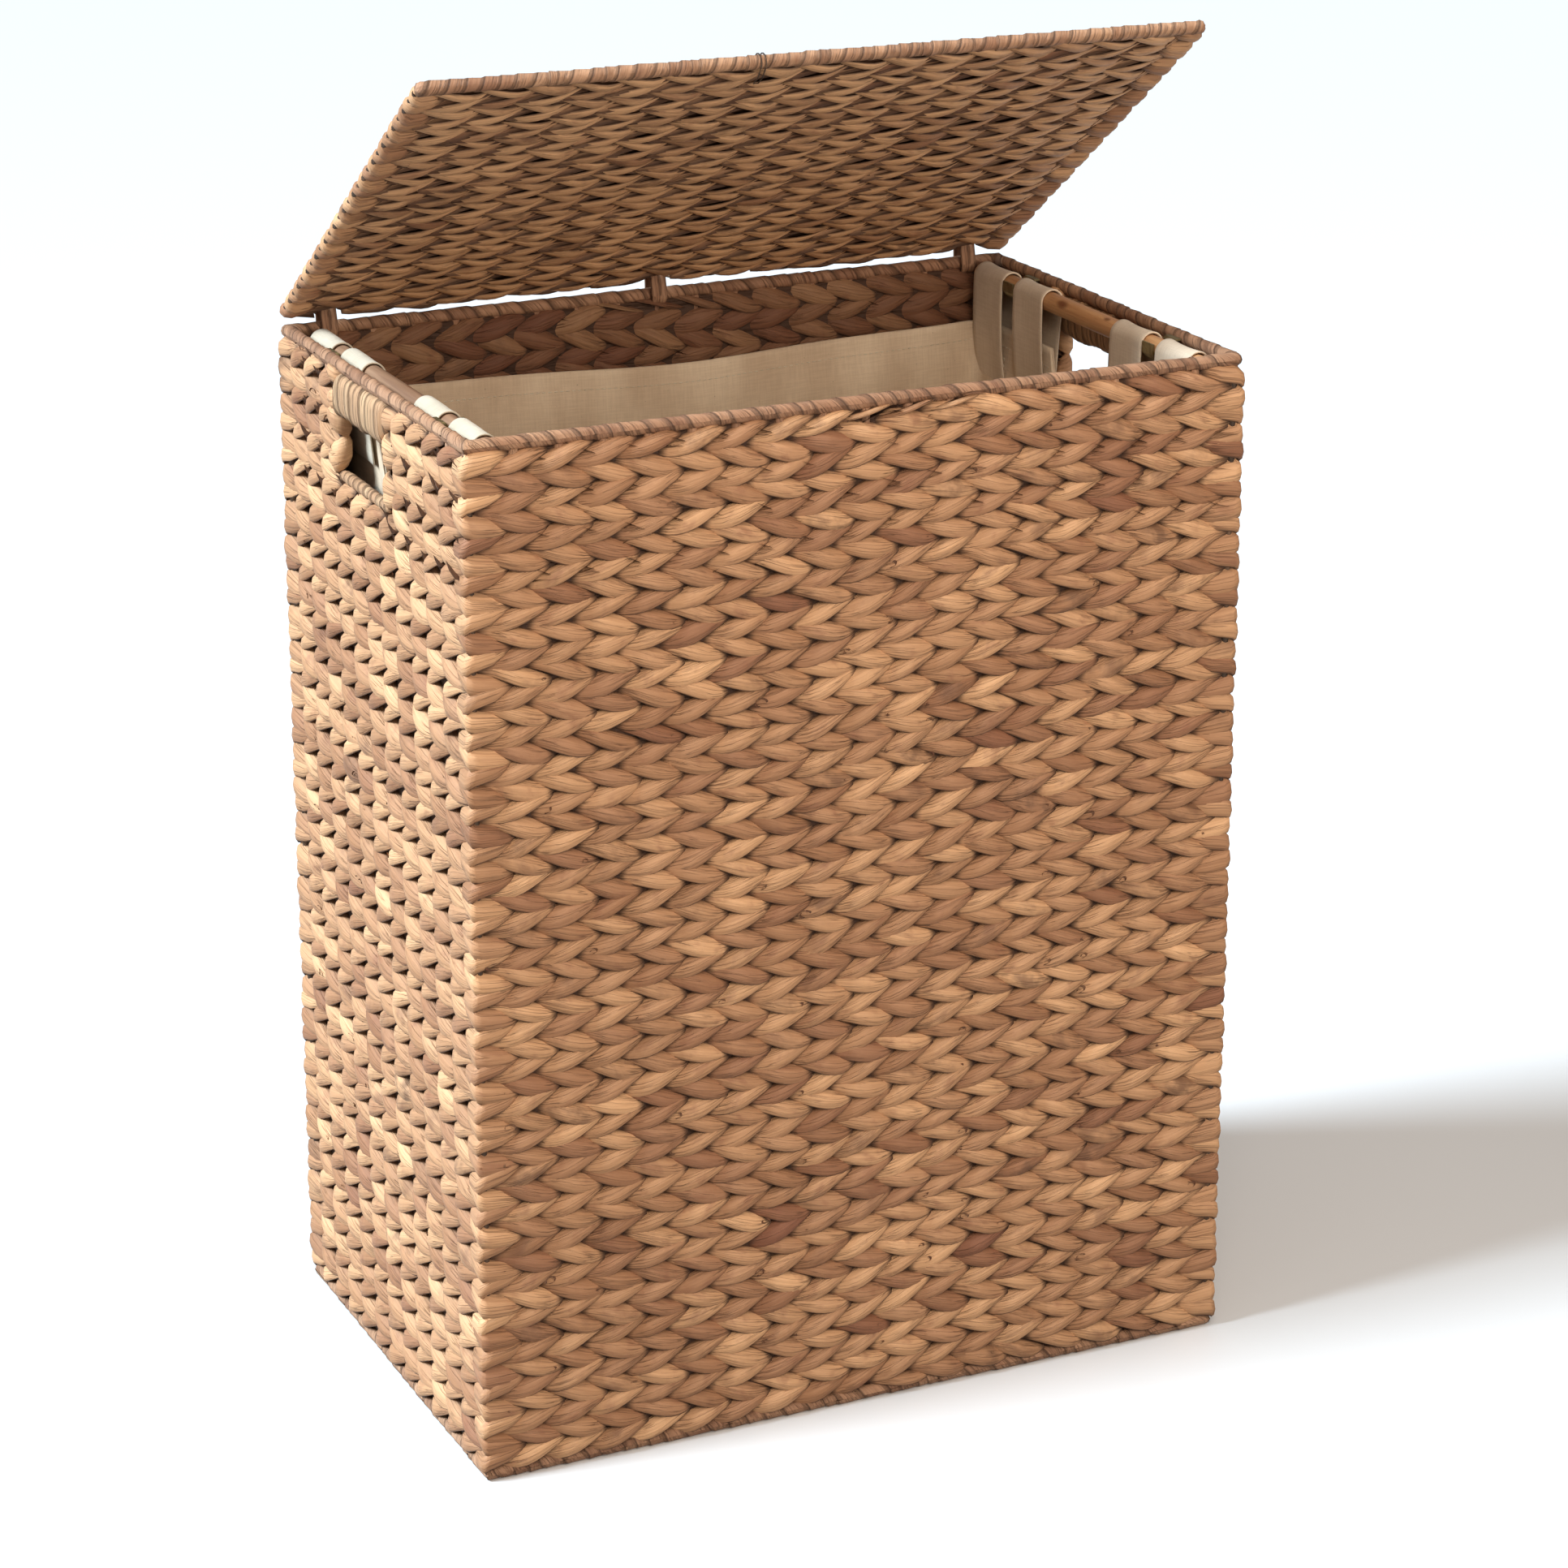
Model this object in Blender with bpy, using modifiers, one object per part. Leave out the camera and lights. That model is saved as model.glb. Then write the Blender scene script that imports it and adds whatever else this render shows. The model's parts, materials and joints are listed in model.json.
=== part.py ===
"""Woven laundry basket: wire and rattan frame, twined walls, a tied lid and a liner hung from two rods.

Frame: X along the long side, Y from front to back, +Z up, origin at the centre of the footprint.
"""
import math

import bmesh
import bpy
from mathutils import Matrix, Vector

# Overall size of the basket body
WIDTH = 0.480
DEPTH = 0.305
HEIGHT = 0.610
GAP = 0.0003                       # between pieces that touch

# Twined wall, and the wrapped wires that edge it
WALL = 0.014
RIM_R = 0.0039
RIM_CORNER = 0.006
POST_R = 0.0025
WALL_LOW = 2 * RIM_R + GAP
WALL_TOP = HEIGHT - 2 * RIM_R - GAP
BASE_T = 0.0115
MID_X = WIDTH / 2 - WALL / 2       # middle of a side wall
MID_Y = DEPTH / 2 - WALL / 2

# Hand hole in each short side
HOLE_Y = (-0.0240, 0.0500)
HOLE_Z = (0.5456, 0.5792)
JAMB_T = 0.0035
GRIP_T = 0.012
SILL_R = 0.0033

# Wooden rods that carry the liner, their hooks and loops
ROD_R = 0.006
ROD_LENGTH = 0.270
ROD_X = 0.2175
ROD_Z = 0.601
BAND = 0.0012                      # thickness of a loop and of a hook
LOOP_W = 0.038
LOOP_Y = (0.1135, 0.0600)
HOOK_W = 0.0125
HOOK_Y = 0.08675
BAND_R = ROD_R + GAP + BAND / 2

# Cloth liner
LINER_X = 0.2180
LINER_Y = 0.1365
LINER_T = 0.0015
LINER_Z = (BASE_T + 0.0007, 0.573)
LINER_DIP_Y = 0.038
LINER_DIP_Z = 0.535
SEAM_Z = 0.548

# Lid, drawn closed about its hinge axis and then turned open
LID_ANGLE = math.radians(35.5)
LID_T = 0.012
LID_BAR = 0.294                    # hinge axis to the wrapped front bar
LID_HINGE_R = 0.0030
LID_WIRE_R = 0.0020
LID_WIRE_X = 0.2360
HINGE_Z = HEIGHT + LID_T / 2 + 0.0008
LID_STAKES = 18                    # spaces between the wires inside the lid
TIE_X = [LID_WIRE_X * (2 * k / LID_STAKES - 1) for k in (1, 9, 17)]
TIE_W = 0.009
TIE_T = 0.0020
NOTCH = 0.008
LID_LOOP_X = -0.039

for old in list(bpy.data.objects):
    bpy.data.objects.remove(old, do_unlink=True)


def collection(name):
    made = bpy.data.collections.new(name)
    bpy.context.scene.collection.children.link(made)
    return made


PARTS = collection("laundry_basket")
CUTTERS = collection("cutters")


def material(name, colour, roughness, metallic=0.0):
    made = bpy.data.materials.new(name)
    made.use_nodes = True
    shader = made.node_tree.nodes["Principled BSDF"]
    shader.inputs["Base Color"].default_value = (*colour, 1.0)
    shader.inputs["Roughness"].default_value = roughness
    shader.inputs["Metallic"].default_value = metallic
    return made


def add(name, data, colour, roughness, metallic=0.0, parent=None, into=PARTS):
    """Link new data as one named object with a material of its own."""
    thing = bpy.data.objects.new(name, data)
    into.objects.link(thing)
    data.materials.append(material(name, colour, roughness, metallic))
    thing.parent = parent
    return thing


def block(low, high, bevel=0.0, edges=None):
    """Mesh of a box between two corners, its edges rounded where the test says so."""
    low, high = Vector(low), Vector(high)
    shape = bmesh.new()
    bmesh.ops.create_cube(shape, size=1.0)
    bmesh.ops.scale(shape, vec=high - low, verts=shape.verts)
    bmesh.ops.translate(shape, vec=(low + high) / 2, verts=shape.verts)
    if bevel:
        chosen = [e for e in shape.edges if edges is None or edges(e)]
        bmesh.ops.bevel(shape, geom=chosen, offset=bevel, segments=3, profile=0.5,
                        affect="EDGES", clamp_overlap=True)
    return to_mesh(shape)


def to_mesh(shape):
    mesh = bpy.data.meshes.new("mesh")
    shape.to_mesh(mesh)
    shape.free()
    return mesh


def upright(edge):
    a, b = (v.co for v in edge.verts)
    return abs(a.z - b.z) > 1e-4


def rod_mesh(radius, length, axis, sides=16, bevel=0.0):
    """A round bar centred on the origin along one axis."""
    shape = bmesh.new()
    bmesh.ops.create_cone(shape, cap_ends=True, segments=sides, radius1=radius, radius2=radius,
                          depth=length)
    if bevel:
        ends = [e for e in shape.edges if abs(e.verts[0].co.z - e.verts[1].co.z) < 1e-6]
        bmesh.ops.bevel(shape, geom=ends, offset=bevel, segments=3, profile=0.5, affect="EDGES")
    turn = Vector((0, 0, 1)).rotation_difference(Vector(axis)).to_matrix()
    bmesh.ops.rotate(shape, cent=(0, 0, 0), matrix=turn, verts=shape.verts)
    mesh = to_mesh(shape)
    mesh.shade_smooth()
    return mesh


def wire(name, points, radius, cyclic, colour, roughness, parent=None, metallic=0.0):
    """A wrapped or bare wire along a polyline."""
    curve = bpy.data.curves.new(name, "CURVE")
    curve.dimensions = "3D"
    curve.bevel_depth = radius
    curve.bevel_resolution = 2
    curve.use_fill_caps = True
    line = curve.splines.new("POLY")
    line.points.add(len(points) - 1)
    for spot, place in zip(line.points, points):
        spot.co = (*place, 1.0)
    line.use_cyclic_u = cyclic
    return add(name, curve, colour, roughness, metallic, parent)


def arc(centre, radius, start, stop, steps):
    """Points of an arc in a plane, angles in degrees."""
    turns = [math.radians(start + (stop - start) * i / steps) for i in range(steps + 1)]
    return [(centre[0] + radius * math.cos(t), centre[1] + radius * math.sin(t)) for t in turns]


def band(name, path, width, thickness, colour, roughness, across, closed=False, metallic=0.0,
         parent=None):
    """A flat strip: a path swept sideways along `across`, then given its thickness."""
    shape = bmesh.new()
    side = Vector(across) * width
    near = [shape.verts.new(Vector(p) - side / 2) for p in path]
    pairs = zip(near, near[1:] + near[:1] if closed else near[1:])
    edges = [shape.edges.new(pair) for pair in pairs]
    swept = bmesh.ops.extrude_edge_only(shape, edges=edges)
    moved = [v for v in swept["geom"] if isinstance(v, bmesh.types.BMVert)]
    bmesh.ops.translate(shape, vec=side, verts=moved)
    bmesh.ops.recalc_face_normals(shape, faces=shape.faces)
    strip = add(name, to_mesh(shape), colour, roughness, metallic, parent)
    skin = strip.modifiers.new("thickness", "SOLIDIFY")
    skin.thickness = thickness
    skin.offset = 0.0
    skin.use_even_offset = True
    return strip


def cut(target, low, high, name):
    """Cut a box out of an object."""
    tool = add(name, block(low, high), (1, 0, 0), 0.5, into=CUTTERS, parent=target.parent)
    tool.hide_render = True
    tool.display_type = "WIRE"
    take_away(target, tool)


def take_away(target, tool):
    hole = target.modifiers.new("cut_" + tool.name, "BOOLEAN")
    hole.operation = "DIFFERENCE"
    hole.solver = "EXACT"
    hole.object = tool


STRAW = (0.62, 0.40, 0.22)
PALE_STRAW = (0.78, 0.56, 0.34)
WRAP = (0.40, 0.22, 0.12)
CANVAS = (0.66, 0.55, 0.40)
CREAM = (0.80, 0.74, 0.62)
PINE = (0.72, 0.45, 0.22)
STEEL = (0.20, 0.18, 0.15)
BRONZE = (0.30, 0.25, 0.13)

# Wrapped wire rings that close the top and the foot of the walls
for name, level in (("rim_top", HEIGHT - RIM_R), ("rim_bottom", RIM_R)):
    ring = []
    for start, sx, sy in ((0, 1, 1), (90, -1, 1), (180, -1, -1), (270, 1, -1)):
        centre = (sx * (MID_X - RIM_CORNER), sy * (MID_Y - RIM_CORNER))
        ring += [(x, y, level) for x, y in arc(centre, RIM_CORNER, start, start + 90, 4)]
    wire(name, ring, RIM_R, True, WRAP, 0.7)

# Corner posts, standing in bores at the ends of the front and back walls
for fore, sy in (("front", -1), ("back", 1)):
    near, far = sorted((sy * (DEPTH / 2 - WALL), sy * DEPTH / 2))
    wall = add("weave_" + fore, block((-WIDTH / 2, near, WALL_LOW), (WIDTH / 2, far, WALL_TOP)),
               STRAW, 0.75)
    for side, sx in (("left", -1), ("right", 1)):
        spot = Vector((sx * MID_X, sy * MID_Y, HEIGHT / 2))
        bore = add(f"bore_{fore}_{side}", rod_mesh(POST_R + GAP, HEIGHT, (0, 0, 1)), (1, 0, 0), 0.5,
                   into=CUTTERS)
        bore.location = spot
        bore.hide_render = True
        bore.display_type = "WIRE"
        take_away(wall, bore)
        post = add(f"corner_post_{fore}_{side}",
                   rod_mesh(POST_R, WALL_TOP - WALL_LOW, (0, 0, 1)), STEEL, 0.5, 0.8)
        post.location = (spot.x, spot.y, (WALL_TOP + WALL_LOW) / 2)

# Side walls, with a notch for the hand hole and the pieces that frame it
low_y, high_y = HOLE_Y[0] - JAMB_T, HOLE_Y[1] + JAMB_T
sill_z = HOLE_Z[0] - GAP - SILL_R
notch_z = sill_z - SILL_R - GAP
for side, sx in (("left", -1), ("right", 1)):
    near, far = sorted((sx * (WIDTH / 2 - WALL), sx * WIDTH / 2))
    inset = DEPTH / 2 - WALL - GAP
    wall = add("weave_" + side, block((near, -inset, WALL_LOW), (far, inset, WALL_TOP)),
               PALE_STRAW if sx < 0 else STRAW, 0.75)
    cut(wall, (near - 0.01, low_y - GAP, notch_z), (far + 0.01, high_y + GAP, HEIGHT), "notch_" + side)

    middle = sx * MID_X
    add("handle_grip_" + side,
        block((middle - GRIP_T / 2, low_y, HOLE_Z[1] + GAP), (middle + GRIP_T / 2, high_y, WALL_TOP),
              bevel=0.004, edges=lambda e: abs(e.verts[0].co.y - e.verts[1].co.y) > 1e-4),
        PALE_STRAW, 0.7)
    sill = add("handle_sill_" + side, rod_mesh(SILL_R, high_y - low_y, (0, 1, 0), 12), WRAP, 0.7)
    sill.location = (middle, (low_y + high_y) / 2, sill_z)
    for fore, y in (("front", low_y), ("back", HOLE_Y[1])):
        add(f"handle_jamb_{side}_{fore}",
            block((middle - WALL / 2 + GAP, y, HOLE_Z[0]),
                  (middle + WALL / 2 - GAP, y + JAMB_T, HOLE_Z[1]), bevel=0.0012, edges=upright),
            PALE_STRAW, 0.75)

# Woven base between the walls, flush with the foot ring
add("weave_base", block((-WIDTH / 2 + WALL + GAP, -DEPTH / 2 + WALL + GAP, 0.0),
                        (WIDTH / 2 - WALL - GAP, DEPTH / 2 - WALL - GAP, BASE_T)), STRAW, 0.8)

# Liner bag: an open box of cloth, lower between the loops on the short sides
bag = bmesh.new()
bmesh.ops.create_cube(bag, size=1.0)
bmesh.ops.scale(bag, vec=(2 * LINER_X, 2 * LINER_Y, LINER_Z[1] - LINER_Z[0]), verts=bag.verts)
bmesh.ops.translate(bag, vec=(0, 0, sum(LINER_Z) / 2), verts=bag.verts)
mouth = [f for f in bag.faces if f.normal.z > 0.9]
bmesh.ops.delete(bag, geom=mouth, context="FACES_ONLY")
corners = [e for e in bag.edges if upright(e)]
bmesh.ops.bevel(bag, geom=corners, offset=0.003, segments=2, profile=0.5, affect="EDGES")
liner = add("liner_bag", to_mesh(bag), CANVAS, 0.9)
cloth = liner.modifiers.new("cloth", "SOLIDIFY")
cloth.thickness = LINER_T
cloth.offset = -1.0
cut(liner, (-0.3, -LINER_DIP_Y, LINER_DIP_Z), (0.3, LINER_DIP_Y, 0.7), "liner_dip")

# Rods, with the hooks that hold them and the loops that hang the liner on them
inner_leg = LINER_X - LINER_T - GAP - BAND / 2
outer_leg = LINER_X + GAP + BAND / 2
over_rod = arc((ROD_X, ROD_Z), BAND_R, 180, 0, 10)
under_rod = arc((ROD_X, ROD_Z), BAND_R, 180, 360, 10)
loop_line = ([(inner_leg, SEAM_Z), (inner_leg, LINER_Z[1]), (ROD_X - 0.0055, ROD_Z - 0.013)] + over_rod
             + [(ROD_X + 0.0055, ROD_Z - 0.013), (outer_leg, LINER_Z[1]), (outer_leg, SEAM_Z)])
hook_line = ([(ROD_X - BAND_R, ROD_Z + 0.004)] + under_rod
             + [(ROD_X + BAND_R, ROD_Z + 0.004), (ROD_X + BAND_R + 0.0012, ROD_Z + 0.0052),
                (MID_X - RIM_R - GAP, ROD_Z + 0.0052)])
for side, sx in (("left", -1), ("right", 1)):
    rod = add("rod_" + side, rod_mesh(ROD_R, ROD_LENGTH, (0, 1, 0), 24, bevel=0.001), PINE, 0.5)
    rod.location = (sx * ROD_X, 0, ROD_Z)
    spots = [y for y in LOOP_Y] + [-y for y in reversed(LOOP_Y)]
    for number, y in enumerate(spots, 1):
        path = [(sx * x, y, z) for x, z in loop_line]
        band(f"loop_{side}_{number}", path, LOOP_W, BAND, CREAM, 0.9, (0, 1, 0))
    for fore, y in (("front", -HOOK_Y), ("back", HOOK_Y)):
        path = [(sx * x, y, z) for x, z in hook_line]
        band(f"hook_{side}_{fore}", path, HOOK_W, BAND, BRONZE, 0.4, (0, 1, 0), metallic=0.8)

# Lid, all of it hung on the hinge axis
hinge = bpy.data.objects.new("lid_hinge", None)
PARTS.objects.link(hinge)
hinge.location = (0, MID_Y, HINGE_Z)
hinge.rotation_euler = (-LID_ANGLE, 0, 0)

rear = -(LID_HINGE_R + GAP)
front = -(LID_BAR - RIM_R - GAP)
edge_x = LID_WIRE_X - LID_WIRE_R - GAP
lid = add("lid_weave", block((-edge_x, front, -LID_T / 2), (edge_x, rear, LID_T / 2)), STRAW, 0.75,
          parent=hinge)
for number, x in enumerate(TIE_X, 1):
    half = TIE_W / 2 + 0.0008
    cut(lid, (x - half, -NOTCH, -0.02), (x + half, 0.02, 0.02), f"tie_notch_{number}")
add("lid_bar_rear", rod_mesh(LID_HINGE_R, 2 * LID_WIRE_X, (1, 0, 0), 16), WRAP, 0.7, parent=hinge)
bar = add("lid_bar_front", rod_mesh(RIM_R, WIDTH - 0.003, (1, 0, 0), 16), WRAP, 0.7, parent=hinge)
bar.location = (0, -LID_BAR, 0)
for side, sx in (("left", -1), ("right", 1)):
    rail = add("lid_wire_" + side, rod_mesh(LID_WIRE_R, rear - front, (0, 1, 0), 10), STEEL, 0.5, 0.8,
               parent=hinge)
    rail.location = (sx * LID_WIRE_X, (rear + front) / 2, 0)
leg = arc((-LID_BAR, 0), RIM_R + GAP + 0.0006, 75, 270, 7)
leg += [(-LID_BAR + 0.0050, -LID_T / 2 - 0.0007), (-LID_BAR + 0.0125, -LID_T / 2 - 0.0007)]
hairpin = [(LID_LOOP_X - 0.0014, y, z) for y, z in leg] + [(LID_LOOP_X + 0.0014, y, z) for y, z in leg[::-1]]
wire("lid_wire_loop", hairpin, 0.0004, True, STEEL, 0.4, hinge, 0.9)

# Ties that bind the lid's rear bar to the rim
rim_z = HEIGHT - RIM_R
upper = arc((MID_Y, HINGE_Z), LID_HINGE_R + GAP + TIE_T / 2, 0, 180, 8)
lower = arc((MID_Y, rim_z), RIM_R + GAP + TIE_T / 2, 180, 360, 8)
back_wall = bpy.data.objects["weave_back"]
for name, x in zip(("left", "middle", "right"), TIE_X):
    half = TIE_W / 2 + 0.0008
    cut(back_wall, (x - half, MID_Y - 0.02, rim_z - RIM_R - TIE_T - 0.0010),
        (x + half, MID_Y + 0.02, HEIGHT), "tie_slot_" + name)
    band("hinge_tie_" + name, [(x, y, z) for y, z in upper + lower], TIE_W, TIE_T, WRAP, 0.7,
         (1, 0, 0), closed=True)
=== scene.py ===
# %% [markdown]
# # A woven laundry basket
#
# The basket is a wire cage with flat, dried strands of water hyacinth twined round its stakes. It has a
# hand hole in each short side, a lid tied to the back rim, and a canvas liner that hangs from two wooden
# rods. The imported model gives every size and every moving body. This script only adds the surface that
# one sees: each strand, each turn of wrapping, the cloth and its stitches.

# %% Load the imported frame
import json
import math

import bmesh
import bpy
import numpy as np
from mathutils import Matrix, Vector


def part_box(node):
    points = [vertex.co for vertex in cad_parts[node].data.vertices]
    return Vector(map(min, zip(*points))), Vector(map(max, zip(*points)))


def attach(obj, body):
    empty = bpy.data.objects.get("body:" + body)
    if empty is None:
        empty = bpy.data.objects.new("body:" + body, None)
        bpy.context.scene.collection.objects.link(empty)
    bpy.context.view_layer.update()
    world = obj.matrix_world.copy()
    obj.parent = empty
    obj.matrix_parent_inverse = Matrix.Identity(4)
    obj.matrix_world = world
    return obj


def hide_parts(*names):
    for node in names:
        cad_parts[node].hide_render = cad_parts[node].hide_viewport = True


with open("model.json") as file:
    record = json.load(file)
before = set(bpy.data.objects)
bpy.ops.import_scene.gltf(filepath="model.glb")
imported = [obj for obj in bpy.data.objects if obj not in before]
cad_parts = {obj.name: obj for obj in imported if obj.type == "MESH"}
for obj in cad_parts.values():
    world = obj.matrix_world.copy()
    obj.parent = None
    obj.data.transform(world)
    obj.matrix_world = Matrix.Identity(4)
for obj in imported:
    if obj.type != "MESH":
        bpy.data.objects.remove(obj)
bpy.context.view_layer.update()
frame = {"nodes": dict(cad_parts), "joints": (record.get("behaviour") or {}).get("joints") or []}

# %% [markdown]
# ## Sizes
#
# Everything is placed from the frame's own boxes: the middle of each wall's thickness, the height that
# the weave fills, the lid's hinge and how far it stands open. The lid is drawn closed, on its hinge axis,
# and turned open by the angle between rest and the closed end of its range.

# %% Sizes taken from the frame
def middle(node):
    low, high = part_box(node)
    return (low + high) / 2


MID_X = middle("weave_right").x
MID_Y = middle("weave_back").y
LOW, TOP = (corner.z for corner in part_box("weave_front"))
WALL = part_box("weave_front")[1].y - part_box("weave_front")[0].y
CORNER = 0.010
RIM_R = (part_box("rim_top")[1].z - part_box("rim_top")[0].z) / 2
HINGE = next(j for j in frame["joints"] if j["name"] == "lid_hinge")
HINGE_POS = Vector(HINGE["pos_m"])
OPEN = math.radians(-HINGE["range_deg"][0])
HOLE_Y = (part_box("handle_jamb_left_front")[1].y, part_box("handle_jamb_left_back")[0].y)
HOLE_Z = (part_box("handle_jamb_left_front")[0].z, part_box("handle_jamb_left_front")[1].z)
FRONT_STAKES, SIDE_STAKES = 18, 12
ROW = 0.0108
LID_ROWS = 28
RIM_STRIP, BAR_STRIP, SILL_STRIP = 0.0130, 0.0085, 0.0072
rng = np.random.default_rng(7)
print(f"wall middle {MID_X:.4f} x {MID_Y:.4f}, weave {LOW:.4f} to {TOP:.4f}, lid open "
      f"{math.degrees(OPEN):.1f} degrees")

# %% [markdown]
# ## Camera, floor and light
#
# The camera stands to the left of the front and a little above the rim, with a long lens, so the upright
# edges stay nearly parallel. The floor is a plain pale sweep that throws no light back up, so the gaps
# between the strands stay dark. Broad daylight from the left gives the bright short side, a warm lamp
# lights the front and reaches in under the lid, and two weak ones keep the lid and the rim readable.

# %% Camera
camera_data = bpy.data.cameras.new("camera")
camera_data.lens = 98.8
camera_data.sensor_width = 36.0
camera_data.shift_y = -0.08
camera = bpy.data.objects.new("camera", camera_data)
bpy.context.scene.collection.objects.link(camera)
camera.location = (-1.0017, -2.2008, 1.1888)
camera.rotation_euler = (math.radians(90 - 17.72), 0, math.radians(-24.87))
bpy.context.scene.camera = camera


# %% Floor, sky and lamps
def lamp(name, place, target, size, power, colour):
    data = bpy.data.lights.new(name, "AREA")
    data.shape = "RECTANGLE"
    data.size, data.size_y = size
    data.energy = power
    data.color = colour
    thing = bpy.data.objects.new(name, data)
    thing.location = place
    thing.rotation_euler = (Vector(target) - Vector(place)).to_track_quat("-Z", "Y").to_euler()
    bpy.context.scene.collection.objects.link(thing)


lamp("fill_front", (-0.6, -2.2, 2.4), (0, 0, 0.35), (1.2, 1.0), 34, (1.0, 0.87, 0.74))
lamp("fill_lid", (0.4, -2.0, 0.9), (0, 0.0, 0.75), (0.7, 0.5), 16, (1.0, 0.88, 0.76))
lamp("top_soft", (0.1, -0.9, 2.8), (0, 0, 0.5), (1.6, 1.2), 14, (1.0, 0.92, 0.84))
sun = bpy.data.lights.new("key_left", "SUN")
sun.energy = 8.0
sun.angle = math.radians(24)
sun.color = (0.74, 0.88, 1.0)
key = bpy.data.objects.new("key_left", sun)
key.rotation_euler = Vector((1.6, -0.20, -1.30)).to_track_quat("-Z", "Y").to_euler()
bpy.context.scene.collection.objects.link(key)

world = bpy.data.worlds.new("studio")
world.use_nodes = True
world.node_tree.nodes["Background"].inputs["Color"].default_value = (1.0, 0.99, 0.98, 1.0)
world.node_tree.nodes["Background"].inputs["Strength"].default_value = 0.30
bpy.context.scene.world = world
bpy.context.scene.view_settings.view_transform = "Standard"

floor_mesh = bmesh.new()
bmesh.ops.create_grid(floor_mesh, x_segments=1, y_segments=1, size=30.0)
floor_data = bpy.data.meshes.new("floor")
floor_mesh.to_mesh(floor_data)
floor_mesh.free()
floor = bpy.data.objects.new("floor", floor_data)
bpy.context.scene.collection.objects.link(floor)
floor.visible_diffuse = False
floor_finish = bpy.data.materials.new("pale_floor")
floor_finish.use_nodes = True
floor_finish.node_tree.nodes["Principled BSDF"].inputs["Base Color"].default_value = (0.76, 0.755, 0.75, 1)
floor_finish.node_tree.nodes["Principled BSDF"].inputs["Roughness"].default_value = 0.35
floor_data.materials.append(floor_finish)
print("camera, floor, daylight and three lamps are set")

# %% [markdown]
# ## Materials
#
# A material here is a small tree of nodes. Three helpers keep them short: one adds a node and links its
# inputs, one reads a texture along a mapped coordinate, and one mixes two colours. Strands and wraps
# carry a UV map called `fibre`, in metres along and across the strand, so the fibres always run the
# right way, a second map called `shape` that says how near a point is to the strand's edges, and a colour
# attribute called `tint` that gives each strand its own shade.


# %% Node helpers
class Finish:
    """A material being built: its tree, its shader and short ways to add nodes."""

    def __init__(self, name, roughness, metallic=0.0, specular=0.35):
        self.material = bpy.data.materials.new(name)
        self.material.use_nodes = True
        self.tree = self.material.node_tree
        self.shader = self.tree.nodes["Principled BSDF"]
        self.shader.inputs["Roughness"].default_value = roughness
        self.shader.inputs["Metallic"].default_value = metallic
        self.shader.inputs["Specular IOR Level"].default_value = specular

    def add(self, kind, settings=None, **inputs):
        node = self.tree.nodes.new("ShaderNode" + kind)
        for key, value in (settings or {}).items():
            setattr(node, key, value)
        for key, value in inputs.items():
            self.feed(node.inputs[int(key[1:]) if key[1:].isdigit() else key.replace("_", " ")], value)
        return node

    def feed(self, socket, value):
        if isinstance(value, bpy.types.NodeSocket):
            self.tree.links.new(value, socket)
        else:
            socket.default_value = value

    def math(self, operation, first, second=0.0, clamp=False):
        node = self.add("Math", {"operation": operation, "use_clamp": clamp}, i0=first, i1=second)
        return node.outputs[0]

    def noise(self, where, scale, detail=2.0, rough=0.55, shift=(0, 0, 0)):
        mapped = self.add("Mapping", Vector=where, Scale=scale, Location=shift).outputs[0]
        return self.add("TexNoise", Vector=mapped, Scale=1.0, Detail=detail, Roughness=rough).outputs[0]

    def ramp(self, value, low, high, bottom=0.0, top=1.0):
        node = self.add("MapRange", {"interpolation_type": "SMOOTHSTEP"}, Value=value)
        for key, number in zip(("From Min", "From Max", "To Min", "To Max"), (low, high, bottom, top)):
            node.inputs[key].default_value = number
        return node.outputs[0]

    def mix(self, factor, first, second, blend="MIX"):
        node = self.add("Mix", {"data_type": "RGBA", "blend_type": blend})
        for socket, value in zip((node.inputs[0], node.inputs[6], node.inputs[7]), (factor, first, second)):
            self.feed(socket, value)
        return node.outputs[2]

    def colour(self, value):
        self.feed(self.shader.inputs["Base Color"], value)

    def bump(self, height, distance, strength=1.0, under=None):
        node = self.add("Bump", Height=height)
        node.inputs["Distance"].default_value = distance
        node.inputs["Strength"].default_value = strength
        if under is not None:
            self.feed(node.inputs["Normal"], under)
        self.feed(self.shader.inputs["Normal"], node.outputs[0])
        return node.outputs[0]


print("node helpers ready")
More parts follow.
